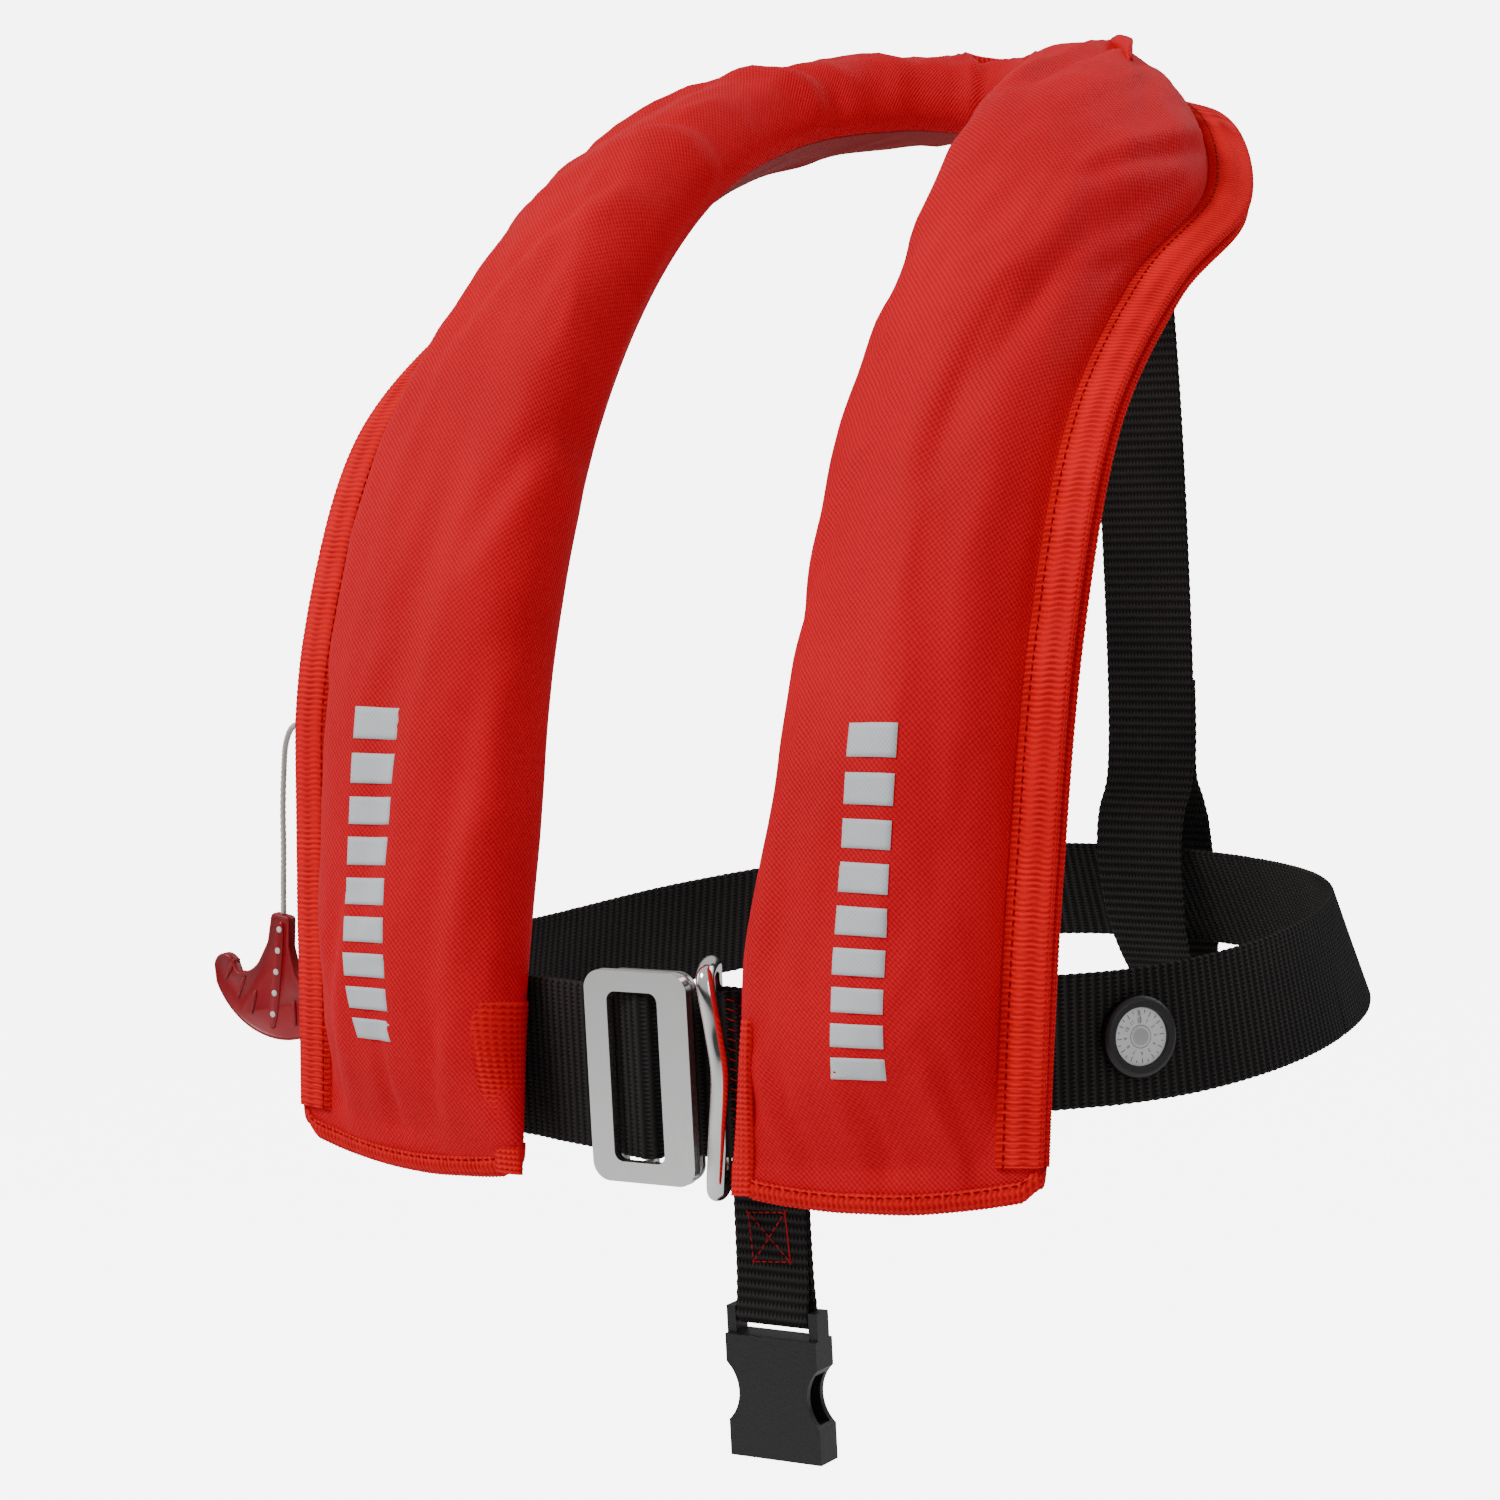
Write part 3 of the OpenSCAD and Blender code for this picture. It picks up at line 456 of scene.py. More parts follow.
def dense(profile, sub):
    """The profile as a smooth line, straight over its last stretch."""
    body = [Vector(p) for p in profile[:-1]]
    pts = [at(body, i / sub) for i in range((len(body) - 1) * sub + 1)]
    a, b = body[-1], Vector(profile[-1])
    return pts + [a.lerp(b, f) for f in (0.35, 0.7, 1.0)]


def fold(k, u, s0, f0, s1, f1, depth, width):
    """A crease from (s0, f0) to (s1, f1), f being the share of the width: a valley beside a ridge."""
    px, py = (k.s - s0) * STATION_MM, (u / k.w - f0) * MEAN_WIDTH_MM
    dx, dy = (s1 - s0) * STATION_MM, (f1 - f0) * MEAN_WIDTH_MM
    length = math.hypot(dx, dy)
    t = (px * dx + py * dy) / (length * length)
    if not -0.25 < t < 1.25:
        return 0.0
    off = (px * dy - py * dx) / length / width
    fade = bump01(max(0.0, abs(t - 0.5) - 0.25) / 0.75)
    return depth * fade * (0.8 * math.exp(-((off - 0.9) ** 2)) - math.exp(-(off * off) * 1.6))


# Creases that fabric takes round the collar and shoulders and above the hems.
FOLDS = [
    (10.0, 0.20, 10.9, 0.75, 1.6, 5), (10.7, 0.05, 11.7, 0.55, 1.8, 5), (11.2, 0.35, 12.2, 0.85, 1.6, 5),
    (11.9, 0.05, 12.6, 0.5, 1.6, 5), (12.1, 0.55, 13.1, 0.92, 1.5, 4), (12.6, 0.1, 13.5, 0.45, 1.2, 5),
    (9.2, 0.1, 9.8, 0.6, 1.2, 4), (8.4, 0.1, 8.9, 0.7, 1.1, 4), (8.0, 0.5, 7.3, 0.9, 1.2, 4),
    (5.6, 0.62, 6.6, 0.92, 1.4, 5), (6.4, 0.15, 7.4, 0.4, 1.2, 5), (5.0, 0.8, 5.7, 0.98, 1.3, 4),
    (4.0, 0.55, 5.6, 0.75, 1.1, 8), (2.2, 0.66, 4.2, 0.5, 0.8, 9), (14.2, 0.30, 16.2, 0.46, 0.9, 8),
    (13.2, 0.62, 14.8, 0.8, 1.1, 6), (15.4, 0.1, 17.0, 0.2, 0.9, 6), (16.6, 0.62, 17.7, 0.75, 1.0, 5),
    (17.2, 0.2, 17.9, 0.3, 0.9, 4), (17.3, 0.45, 17.95, 0.5, 0.9, 4), (0.1, 0.25, 0.7, 0.15, 0.9, 4),
    (0.05, 0.5, 0.6, 0.45, 0.8, 4), (0.1, 0.78, 0.9, 0.7, 0.9, 4), (1.2, 0.12, 2.4, 0.2, 0.8, 6),
    (3.2, 0.05, 3.9, 0.3, 0.8, 5), (14.0, 0.02, 14.6, 0.2, 0.8, 5),
]


def wrinkle(k, u, share):
    """How far the cloth stands off its plain shape, in mm; share fades it out at the seams."""
    if share <= 0:
        return 0.0
    p = middle(k.s)
    q = Vector((u * 0.035, p.y * 0.012, p.z * 0.012 + k.s * 0.3))
    r = Vector((u * 0.11, k.s * 2.1, 3.7))
    slow = noise.noise(q) * 2.4
    quick = (abs(noise.noise(r)) - 0.2) * -2.4
    high = 1.0 if 4.2 < k.s < 13.5 else 0.55
    value = slow + quick * high
    for f in FOLDS:
        value += 2.0 * fold(k, u, *f)
    return share * value


def hem_sag(u, w):
    """How far a hem bows down at u: fullest in the middle, drawn up round at both corners."""
    f = min(1.0, max(0.0, u / w))
    return 5.2 * (1 - (2 * f - 1) ** 2) - 3.4 - 3.2 * (bump01(f / 0.07) + bump01((1 - f) / 0.07))


def cover_rows(profile, sub, seam, flip=1.0):
    rows, uvs = [], []
    run = 0.0
    before = None
    ks = ([Station(-e) for e in (HEM_REACH, 7, 4, 1.5)] + stations(0, S_END)
          + [Station(S_END + e) for e in (1.5, 4, 7, HEM_REACH)])
    for k in ks:
        pts = dense(profile(k), sub)
        run += 0 if before is None else (middle(k.s) + k.o - at(INNER, k.s) - before).length
        before = middle(k.s) + k.o - at(INNER, k.s)
        row, v = [], 0.0
        for j, p in enumerate(pts):
            a, b = pts[max(j - 1, 0)], pts[min(j + 1, len(pts) - 1)]
            t = (b - a).normalized()
            edge = min(1.0, max(0.0, j - seam) / 6) * min(1.0, max(0.0, len(pts) - 7 - j) / 5)
            near_hem = 1 - 0.75 * k.over / HEM_REACH
            off = wrinkle(k, p.x, edge * near_hem) * flip
            squeeze = 1 - 0.03 * k.over
            q = p + Vector((-t.y, t.x)) * off
            drop = (hem_sag(p.x, k.w) - 0.6) * k.over / HEM_REACH * (-1 if k.s < 9 else 1)
            row.append(k.place(q.x, q.y * squeeze) + k.along * drop)
            v += (p - pts[j - 1]).length if j else 0.0
            uvs.append((run * MM, v * MM))
        rows.append(row)
    return rows, uvs


def make_cover():
    for name, profile, node, seam, flip, inward in (
            ("front_panel", front_profile, "cover_front", 3, 1.0, -1),
            ("back_panel", back_profile, "cover_back", 1, -0.35, 1)):
        rows, uvs = cover_rows(profile, 5, seam, flip)
        verts, faces = grid(rows)
        o = new_piece(name, verts, faces, MATERIALS[SLOT_OF[node]], node=node, uvs=uvs)
        modify(o, "SOLIDIFY", thickness=FABRIC * MM * 0.9, offset=inward, use_even_offset=False)
        apply_all(o)


make_cover()


def ribs(i, every=4, depth=0.26):
    return depth * (0.5 + 0.5 * math.cos(2 * math.pi * i / every))


def binding(name, node, side):
    """Ribbed tape folded round a flange; gives back the line for its row of stitches."""
    rings, uvs, run, before = [], [], 0.0, None
    count = 2600
    seam = []
    for i in range(count + 1):
        k = Station(S_END * i / count)
        edge = k.place(k.w, 0)
        run += 0 if before is None else (edge - before).length
        before = edge
        r = ribs(i)
        wave = 0.25 * noise.noise(Vector((run * 0.02, side, 0.0)))
        a, b = k.gap + 0.12, k.gap + 2 * BIND_T + FABRIC + 0.12
        line = [(k.w - BIND_W, a - r * 0.5), (k.w - 1.0, a - r * 0.5), (k.w - 0.1 + r, a + 0.5),
                (k.w + 0.1 + r, (a + b) / 2), (k.w - 0.1 + r, b - 0.5), (k.w - 1.0, b + r),
                (k.w - BIND_W / 2, b + 0.25 + r), (k.w - BIND_W, b + r - 0.1), (k.w - BIND_W, (a + b) / 2)]
        rings.append([k.place(u + wave, side * n) for u, n in line])
        uvs += [(run * MM, j * 0.0023) for j in range(len(line))]
        seam.append((k.place(k.w - BIND_W + 2.4, side * (b + 0.32)), k.n * side))
    if side < 0:
        rings = [list(reversed(r)) for r in rings]
    verts, faces = sew_rings(rings)
    new_piece(name, verts, faces, MATERIALS["binding_red"], node=node, uvs=uvs)
    return seam


def stitches(name, runs, material, size=(1.9, 0.42), gap=2.9, body="jacket"):
    """Sewn thread: each run is a list of (point, surface normal); every stitch is a small rounded bar."""
    verts, faces, uvs = [], [], []
    length, width = size
    shape = [(-0.5, 0.35), (-0.28, 1.0), (0.28, 1.0), (0.5, 0.35)]
    for line in runs:
        need = 0.0
        for (p, n), (q, _) in zip(line, line[1:]):
            d = q - p
            seg = d.length
            if seg < 1e-9:
                continue
            t = d / seg
            while need <= seg:
                c = p + t * need
                side = t.cross(n).normalized()
                base = len(verts)
                for x, g in shape:
                    for j in range(6):
                        a = 2 * math.pi * j / 6
                        verts.append(c + t * (x * length) + side * (width / 2 * g * math.cos(a))
                                     + n * (width / 2 * g * math.sin(a)))
                        uvs.append((x * 0.002, j * 0.0003))
                for i in range(3):
                    faces += band(base + i * 6, 6)
                faces.append(tuple(base + j for j in range(5, -1, -1)))
                faces.append(tuple(base + 18 + j for j in range(6)))
                need += gap
            need -= seg
    return new_piece(name, verts, faces, material, body=body, uvs=uvs)


front_seam = binding("binding_front_tape", "binding_front", 1)
back_seam = binding("binding_back_tape", "binding_back", -1)
stitches("binding_stitches", [front_seam[::10], back_seam[::10]], EXTRA["cover_thread"])


def level(profile, u):
    """Height of a profile above the middle plane at u."""
    for (a, h), (b, g) in zip(profile, profile[1:]):
        if a <= u <= b:
            return h + (g - h) * (u - a) / max(1e-6, b - a)
    return profile[-1][1] if u > profile[-1][0] else profile[0][1]


def hem(name, node, s):
    """Ribbed tape folded round the bottom of a lobe, and up its inner edge."""
    k = Station(s)
    d = -1 if s == 0 else 1
    front = [p for p in front_profile(k) if p[0] >= 0][2:]
    back = back_profile(k)
    rings, uvs = [], []
    count = 260
    for i in range(count + 1):
        u = -0.8 + (k.w + 0.4) * i / count
        r = ribs(i)
        uu = min(max(u, 1.0), k.w - 1)
        end = bump01(max(0.0, abs(u - k.w / 2) - k.w / 2 + 5) / 9)
        hi = level(front, uu) * 0.74 * end + 0.8 + r
        lo = level(back, uu) * 0.8 * end - 0.8 - r
        sag = hem_sag(u, k.w) + 0.3 * noise.noise(Vector((u * 0.06, s, 2)))
        section = [(6.6, hi + 0.1), (8.6, hi * 0.96 + 0.1), (11.0, hi * 0.82), (12.4, hi * 0.5),
                   (12.9 + r, 0.5), (12.4, lo * 0.5), (11.0, lo * 0.82), (8.6, lo * 0.96), (6.6, lo),
                   (7.2, lo + 0.7), (7.2, hi - 0.7)]
        rings.append([k.place(u, n) + k.along * (d * (g + sag - 0.6)) for g, n in section])
        uvs += [(u * MM, j * 0.0021) for j in range(len(section))]
    if d > 0:
        rings = [list(reversed(r)) for r in rings]
    verts, faces = sew_rings(rings)
    edge_rings, edge_uvs = [], []
    steps = 130
    for i in range(steps + 1):
        e = -9.0 + 52.0 * i / steps
        if e < 0:
            kk = Station(e) if s == 0 else Station(S_END - e)
        else:
            kk = Station(e / HEM_STATION_MM) if s == 0 else Station(S_END - e / HEM_STATION_MM)
        r = ribs(i)
        prof, low = dense(front_profile(kk), 4), back_profile(kk)
        squeeze = 1 - 0.03 * kk.over
        line = [p for p in prof[:-3] if p.x <= 8.5 + 1e-6]
        outer = [Vector((p.x - (0.8 + r) * max(0.0, 1 - p.x / 8.5), p.y + (0.7 + r) * (1 if p.y > 0 else -1)
                         * min(1.0, abs(p.x) / 3))) for p in line]
        inner = [Vector((p.x + 0.8, p.y * 0.9)) for p in reversed(line)]
        edge_rings.append((kk, [(q.x, q.y * squeeze) for q in outer + inner]))
    size = min(len(r) for _, r in edge_rings)
    rings = []
    for i, (kk, line) in enumerate(edge_rings):
        pts = [Vector(p) for p in line]
        rings.append([kk.place(*at(pts, (len(pts) - 1) * j / (size - 1))) for j in range(size)])
        edge_uvs += [(i * 0.4 * MM, j * 0.0021) for j in range(size)]
    if s != 0:
        rings = [list(reversed(r)) for r in rings]
    v2, f2 = sew_rings(rings)
    base = len(verts)
    verts, faces = verts + v2, faces + [tuple(base + j for j in f) for f in f2]
    new_piece(name, verts, faces, MATERIALS["binding_red"], node=node, uvs=uvs + edge_uvs)
    seam = []
    for i in range(8, count - 8):
        u = -0.8 + (k.w + 0.4) * i / count
        hi = level(front, min(max(u, 1.0), k.w - 1)) * 0.74 + 1.1
        sag = hem_sag(u, k.w)
        seam.append((k.place(u, hi) + k.along * (d * (7.6 + sag - 0.6)), k.n))
    return seam


hem_seams = [hem("hem_tape_left", "hem_left", 0), hem("hem_tape_right", "hem_right", 18)]
stitches("hem_stitches", [hs[::5] for hs in hem_seams], EXTRA["cover_thread"])


def touch_tape(name, node, side):
    """The two runs of touch tape, as thin strips."""
    verts, faces, uvs = [], [], []
    for a, b in ((0, 14), (16.667, 18)):
        rings = []
        for k in stations(a, b, 24):
            lo, hi = 0.2, CLOSE - 0.45
            fuzz = 0.1 * noise.noise(Vector((k.s * 40, side, 0)))
            line = [(k.w - 12, lo), (k.w - 7.5, lo + fuzz), (k.w - 3, lo), (k.w - 3, hi), (k.w - 7.5, hi),
                    (k.w - 12, hi)]
            line = line if side > 0 else list(reversed(line))
            rings.append([k.place(u, side * n) for u, n in line])
            uvs += [(k.s * STATION_MM * MM, j * 0.004) for j in range(6)]
        v, f = sew_rings(rings)
        base = len(verts)
        verts, faces = verts + v, faces + [tuple(base + j for j in q) for q in f]
    new_piece(name, verts, faces, MATERIALS["touch_tape"], node=node, uvs=uvs)


touch_tape("hook_tape", "closure_hook", 1)
touch_tape("loop_tape", "closure_loop", -1)


def print_bars(name, node, a, b):
    """Generic reflective bars printed on a lobe: blocks of film that follow the cloth."""
    verts, faces, uvs = [], [], []
    blocks = 9
    for i in range(blocks):
        s0 = a + (b - a) * (i + 0.10) / blocks
        s1 = a + (b - a) * (i + 0.78) / blocks
        rows = []
        for j in range(7):
            k = Station(s0 + (s1 - s0) * j / 6)
            m = 0.46 * k.w
            row = []
            for x in range(9):
                u = m - 8.2 + 16.4 * x / 8
                n = 0.6 * k.t - 0.7 * abs((u - m) / 9) ** 1.5
                row.append(k.place(u, n + wrinkle(k, u, 1.0) + 0.42))
                uvs.append((k.s * STATION_MM * MM, u * MM))
            rows.append(row)
        v, f = grid(rows)
        base = len(verts)
        verts, faces = verts + v, faces + [tuple(base + q for q in face) for face in f]
    o = new_piece(name, verts, faces, MATERIALS["reflective"], node=node, uvs=uvs)
    modify(o, "SOLIDIFY", thickness=0.0003, offset=-1)
    apply_all(o)


print_bars("print_bars_left", "print_left", 0.667, 2.667)
print_bars("print_bars_right", "print_right", 15.333, 17.333)

# ---------------------------------------------------------------- webbing


def strap(path, width, thick, across=None, gap=0.6, every=5, depth=0.26):
    """Rings of a ribbed strap along path.

    across gives the width direction at (point, share of the length, heading)."""
    pts = resample(path, gap)
    n = len(pts)
    rings, uvs = [], []
    run = 0.0
    for i, c in enumerate(pts):
        t = (pts[min(i + 1, n - 1)] - pts[max(i - 1, 0)]).normalized()
        w = across(c, i / (n - 1), t) if across else Vector((0, 0, 1))
        w = (w - t * w.dot(t)).normalized()
        o = w.cross(t).normalized()
        r = ribs(i, every, depth)
        run += (c - pts[i - 1]).length if i else 0.0
        hw = (width(i / (n - 1)) if callable(width) else width) / 2
        ht = thick / 2
        half = [(-hw + 0.9, ht), (-hw * 0.5, ht), (0, ht), (hw * 0.5, ht), (hw - 0.9, ht)]
        ring = [(a, h + r - 0.08) for a, h in half]
        ring += [(hw + r - 0.15, ht * 0.5), (hw + r - 0.05, 0), (hw + r - 0.15, -ht * 0.5)]
        ring += [(-a, -h - r + 0.08) for a, h in half]
        ring += [(-hw - r + 0.15, -ht * 0.5), (-hw - r + 0.05, 0), (-hw - r + 0.15, ht * 0.5)]
        rings.append([c + w * a + o * b for a, b in ring])
        uvs += [(run * MM, a * MM) for a, b in ring]
    return rings, uvs, pts


def join_straps(name, parts, node, body="jacket"):
    verts, faces, uvs = [], [], []
    for rings, uv, *_ in parts:
        v, f = sew_rings(rings)
        base = len(verts)
        verts, faces, uvs = verts + v, faces + [tuple(base + j for j in q) for q in f], uvs + uv
    return new_piece(name, verts, faces, MATERIALS["webbing_black"], body=body, node=node, uvs=uvs)


WAIST = [(60, -223.2, -285, 0), (76, -219, -284, 0), (96, -207, -283, 0), (112, -188, -283, 2),
         (127, -166, -284, 4), (139, -141, -284, 6), (147, -108, -283, 8), (146, -70, -282, 12),
         (133, -22, -282, 16), (106, 24, -283, 20), (66, 60, -284, 24), (26, 76, -284, 26),
         (0, 79, -284, 26), (-26, 76, -284, 26), (-66, 60, -285, 24), (-106, 24, -287, 20),
         (-133, -22, -290, 16), (-147, -70, -293, 12), (-148, -108, -293, 8), (-139, -141, -292, 6),
         (-127, -166, -290, 4), (-112, -188, -288, 2), (-96, -207, -287, 0), (-76, -219, -286, 0),
         (-60, -223.2, -286, 0)]


def make_waist():
    path = [Vector(p[:3]) for p in WAIST]
    leans = [p[3] for p in WAIST]

    def across(c, f, t):
        best = min(range(len(path)), key=lambda i: (path[i] - c).length)
        others = [i for i in (best - 1, best + 1) if 0 <= i < len(path)]
        near = min(others, key=lambda i: (path[i] - c).length)
        a, b = (path[best] - c).length, (path[near] - c).length
        lean = math.radians((leans[best] * b + leans[near] * a) / (a + b))
        flat = Vector((t.x, t.y, 0)).normalized()
        inward = Vector((-flat.y, flat.x, 0))
        return Vector((0, 0, math.cos(lean))) + inward * math.sin(lean)

    part = strap(path, 40, 1.8, across, gap=0.6)
    join_straps("waist_webbing", [part], "waist_belt")


make_waist()
BELT_Z = -289.0
PIN_A, PIN_B, LEG = (4.0, -240.0), (13.0, -229.5), (22.0, -229.5)


def turn(c, r, a, b, n=12):
    return [(c[0] + r * math.cos(math.radians(a + (b - a) * i / n)),
             c[1] + r * math.sin(math.radians(a + (b - a) * i / n))) for i in range(n + 1)]


def make_front_tapes():
    z = BELT_Z
    right = ([(-66, -225.2), (-57, -225.8), (-48, -226.9), (-34, -231.5), (-14, -236.9), (-4, -241.0)]
             + turn(PIN_A, 3.7, -90, 90) + [(-4, -238.0), (-14, -234.8), (-34, -229.4), (-44, -227.2)])
    path = [(x, y, z) for x, y in right]
    join_straps("front_webbing_right", [strap(path, 50, 1.6)], "front_tape_right")
    left = ([(66, -225.2), (58, -225.4), (50, -226.2), (42, -227.8), (34, -229.6), (26, -233.6), (19, -234.2)]
            + turn(PIN_B, 4.0, 270, 90) + [(19, -225.5), (26, -225.4), (34, -227.4), (44, -225.5)])
    path = [(x, y, z) for x, y in left]
    join_straps("front_webbing_left", [strap(path, 50, 1.6)], "front_tape_left")


make_front_tapes()


def make_tack():
    """Red zigzag bar tack that closes the webbing behind the ring."""
    n = Vector((-0.42, -0.9, 0)).normalized()
    pts = []
    for i in range(31):
        x = 31.5 + (1.6 if i % 2 else -1.6)
        pts.append((Vector((x, -231.1 + 0.5 * (x - 31.5) - 0.95, BELT_Z + 22.5 - 1.5 * i)), n))
    runs = [[a, b] for a, b in zip(pts, pts[1:])]
    stitches("buckle_tack", runs, EXTRA["red_thread"], (2.6, 0.5), 9)


make_tack()


def make_back_strap():
    x = 16.0
    top = [(54.6, -11.2), (56.6, -14.5), (62.4, -24.5), (67.5, -60), (72, -120), (73, -200), (70, -238),
           (62, -252), (59, -264), (60.5, -282),
           (66, -299.8), (76.5, -315), (87.5, -315), (95.4, -302), (91, -278.3), (79.3, -251), (73.5, -240),
           (74.2, -222), (74.4, -206)]
    path = [(x, y, z) for y, z in top]

    def width(f):
        edges = [(0, 34), (0.55, 34), (0.62, 33), (0.72, 24.6), (0.80, 24.6), (0.88, 33), (1, 34)]
        for (a, p), (b, q) in zip(edges, edges[1:]):
            if a <= f <= b:
                return p + (q - p) * (f - a) / (b - a)
        return 34

    join_straps("back_webbing", [strap(path, width, 1.3, lambda c, f, t: Vector((1, 0, 0)))], "back_strap")


make_back_strap()
TAB_X, TAB_Y, BAR_Z = 33.0, -220.8, -364.0


def make_crotch_tab():
    eye = (TAB_Y, BAR_Z)
    line = ([(-222.0, -268), (-221.8, -300), (-222.0, -330), (-222.4, -352)]
            + turn(eye, 2.9, 180, 360) + [(-219.2, -352), (-219.6, -330), (-219.8, -300), (-219.6, -268)])
    path = [(TAB_X, y, z) for y, z in line]
    join_straps("crotch_webbing", [strap(path, 25, 1.6, lambda c, f, t: Vector((1, 0, 0)))], "crotch_tab")
    n = Vector((0, -1, 0))
    box = [(-7, -333), (6, -332), (7, -347), (-6, -348), (-7, -333), (7, -347), (6, -332), (-6, -348)]
    y = -223.05
    runs = []
    for (a, b), (c, d) in zip(box, box[1:]):
        p, q = Vector((TAB_X + a, y, b)), Vector((TAB_X + c, y, d))
        runs.append([(p, n), (q, n)])
    stitches("tab_stitches", runs, EXTRA["red_thread"], (1.8, 0.5), 2.3)


make_crotch_tab()

LOOP_SLICES = [(68, -221.5, -224.9), (72, -220.35, -224.4), (76, -218.9, -223.9), (80, -217.05, -223.4),
               (84, -214.9, -223)]


def belt_loop(name, node, side):
    rings, uvs = [], []
    count = 28
    for i in range(count + 1):
        x = 68 + 16 * i / count
        b = at([q[1] for q in LOOP_SLICES], (x - 68) / 4)
        c = at([q[2] for q in LOOP_SLICES], (x - 68) / 4)
        line = [(c + 0.9, -261.5), (b - 2.3, -265.5), (b - 2.3, -285), (b - 2.3, -305.5), (b, -308),
                (b + 2.3, -305.5), (b + 2.3, -285), (b + 2.3, -262), (c + 3.6, -255)]
        pts = [Vector((0, y, z)) for y, z in line]
        fine = [at(pts, j / 3) for j in range(3 * (len(pts) - 1) + 1)]
        r = ribs(i, 4, 0.12)
        out, ins = [], []
        for j, p in enumerate(fine):
            t = (fine[min(j + 1, len(fine) - 1)] - fine[max(j - 1, 0)]).normalized()
            nrm = Vector((0, t.z, -t.y))
            out.append(p + nrm * (0.5 + r))
            ins.append(p - nrm * (0.5 + r))
        ring = [Vector((side * x, p.y, p.z + (0 if side > 0 else -1.5))) for p in out + ins[::-1]]
        rings.append(ring if side < 0 else ring[::-1])
        uvs += [(x * MM, j * 0.004) for j in range(len(ring))]
    verts, faces = sew_rings(rings)
    new_piece(name, verts, faces, MATERIALS["webbing_black"], node=node, uvs=uvs)


belt_loop("loop_left", "belt_loop_left", 1)
belt_loop("loop_right", "belt_loop_right", -1)

# ---------------------------------------------------------------- hard pieces


def soften(name, node, body, width, material=None, segments=2, angle=30, edge_material=None):
    """The CAD piece with its edges rounded, as a piece that stands for it."""
    me = NODES[node].data.copy()
    me.name = name
    bm = bmesh.new()
    bm.from_mesh(me)
    bmesh.ops.remove_doubles(bm, verts=bm.verts, dist=0.00001)
    bmesh.ops.dissolve_limit(bm, angle_limit=math.radians(3), verts=bm.verts, edges=bm.edges)
    bm.to_mesh(me)
    bm.free()
    me.materials.clear()
    me.materials.append(material or MATERIALS[SLOT_OF[node]])
    if edge_material:
        me.materials.append(edge_material)
    o = bpy.data.objects.new(name, me)
    bpy.context.collection.objects.link(o)
    modify(o, "BEVEL", width=width, segments=segments, limit_method="ANGLE", angle_limit=math.radians(angle),
           use_clamp_overlap=True, material=1 if edge_material else -1, harden_normals=False)
    apply_all(o)
    o.data.polygons.foreach_set("use_smooth", [True] * len(o.data.polygons))
    modify(o, "WEIGHTED_NORMAL", keep_sharp=True, weight=80)
    apply_all(o)
    return settle(o, body, node)


soften("frame_steel", "buckle_frame", "front_frame", 0.0009, EXTRA["brushed_face"], 3, 30, MATERIALS["steel"])
soften("plate_steel", "buckle_plate", "rear_plate", 0.0009, EXTRA["dark_steel"], 3)
soften("front_socket_body", "crotch_socket", "front_socket", 0.0006)
soften("rear_socket_body", "rear_socket", "back_socket", 0.0006)
soften("dial_case", "dial_ring", "jacket", 0.0004)
soften("dial_face", "dial_disc", "dial", 0.0002)


def tube(name, route, r, body, node, material, sides=20, per=8, loop=False, lobes=0, twist=0.0):
    """Round bar or twisted cord along a route."""
    pts = [Vector(p) for p in route]
    n = len(pts)
    if loop:
        ring = [pts[-1]] + pts + [pts[0], pts[1]]
        line = [at(ring, 1 + i / per) for i in range(per * n)]
    else:
        line = [at(pts, i / per) for i in range(per * (n - 1) + 1)]
    m = len(line)
    rings, uvs, run = [], [], 0.0
    u = None
    for i, c in enumerate(line):
        a = line[(i - 1) % m] if loop or i else line[0]
        b = line[(i + 1) % m] if loop or i < m - 1 else line[-1]
        t = (b - a).normalized()
        u = (Vector((0.3, 1, 0.2)) if u is None else u)
        u = (u - t * u.dot(t)).normalized()
        v = t.cross(u)
        run += (c - line[i - 1]).length if i else 0.0
        ring = []
        for j in range(sides):
            q = 2 * math.pi * j / sides
            rr = r * (1 + (0.16 * math.cos(lobes * (q + twist * run)) - 0.1 if lobes else 0))
            ring.append(c + u * (rr * math.cos(q)) + v * (rr * math.sin(q)))
            uvs.append((run * MM, q * r * MM))
        rings.append(ring)
    verts, faces = sew_rings(rings, loop)
    return new_piece(name, verts, faces, material, body=body, node=node, uvs=uvs), line


def spring(node, axis, fixed_z):
    """The CAD coil copied in steel and left in place, riding on no body and standing for the CAD node."""
    me = NODES[node].data.copy()
    me.transform(NODES[node].matrix_world)
    me.name = node + "_coil"
    o = bpy.data.objects.new(me.name, me)
    bpy.context.collection.objects.link(o)
    me.materials.clear()
    me.materials.append(MATERIALS["steel"])
    axis = Vector(axis)
    spots = [v.co.dot(axis) for v in me.vertices]
    c = sum((v.co for v in me.vertices), Vector()) / len(me.vertices)
    ends = [c + axis * (t - c.dot(axis)) for t in (min(spots), max(spots))]
    ends.sort(key=lambda e: abs(e.z - fixed_z))
    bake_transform(o)
    settle(o, None, node)


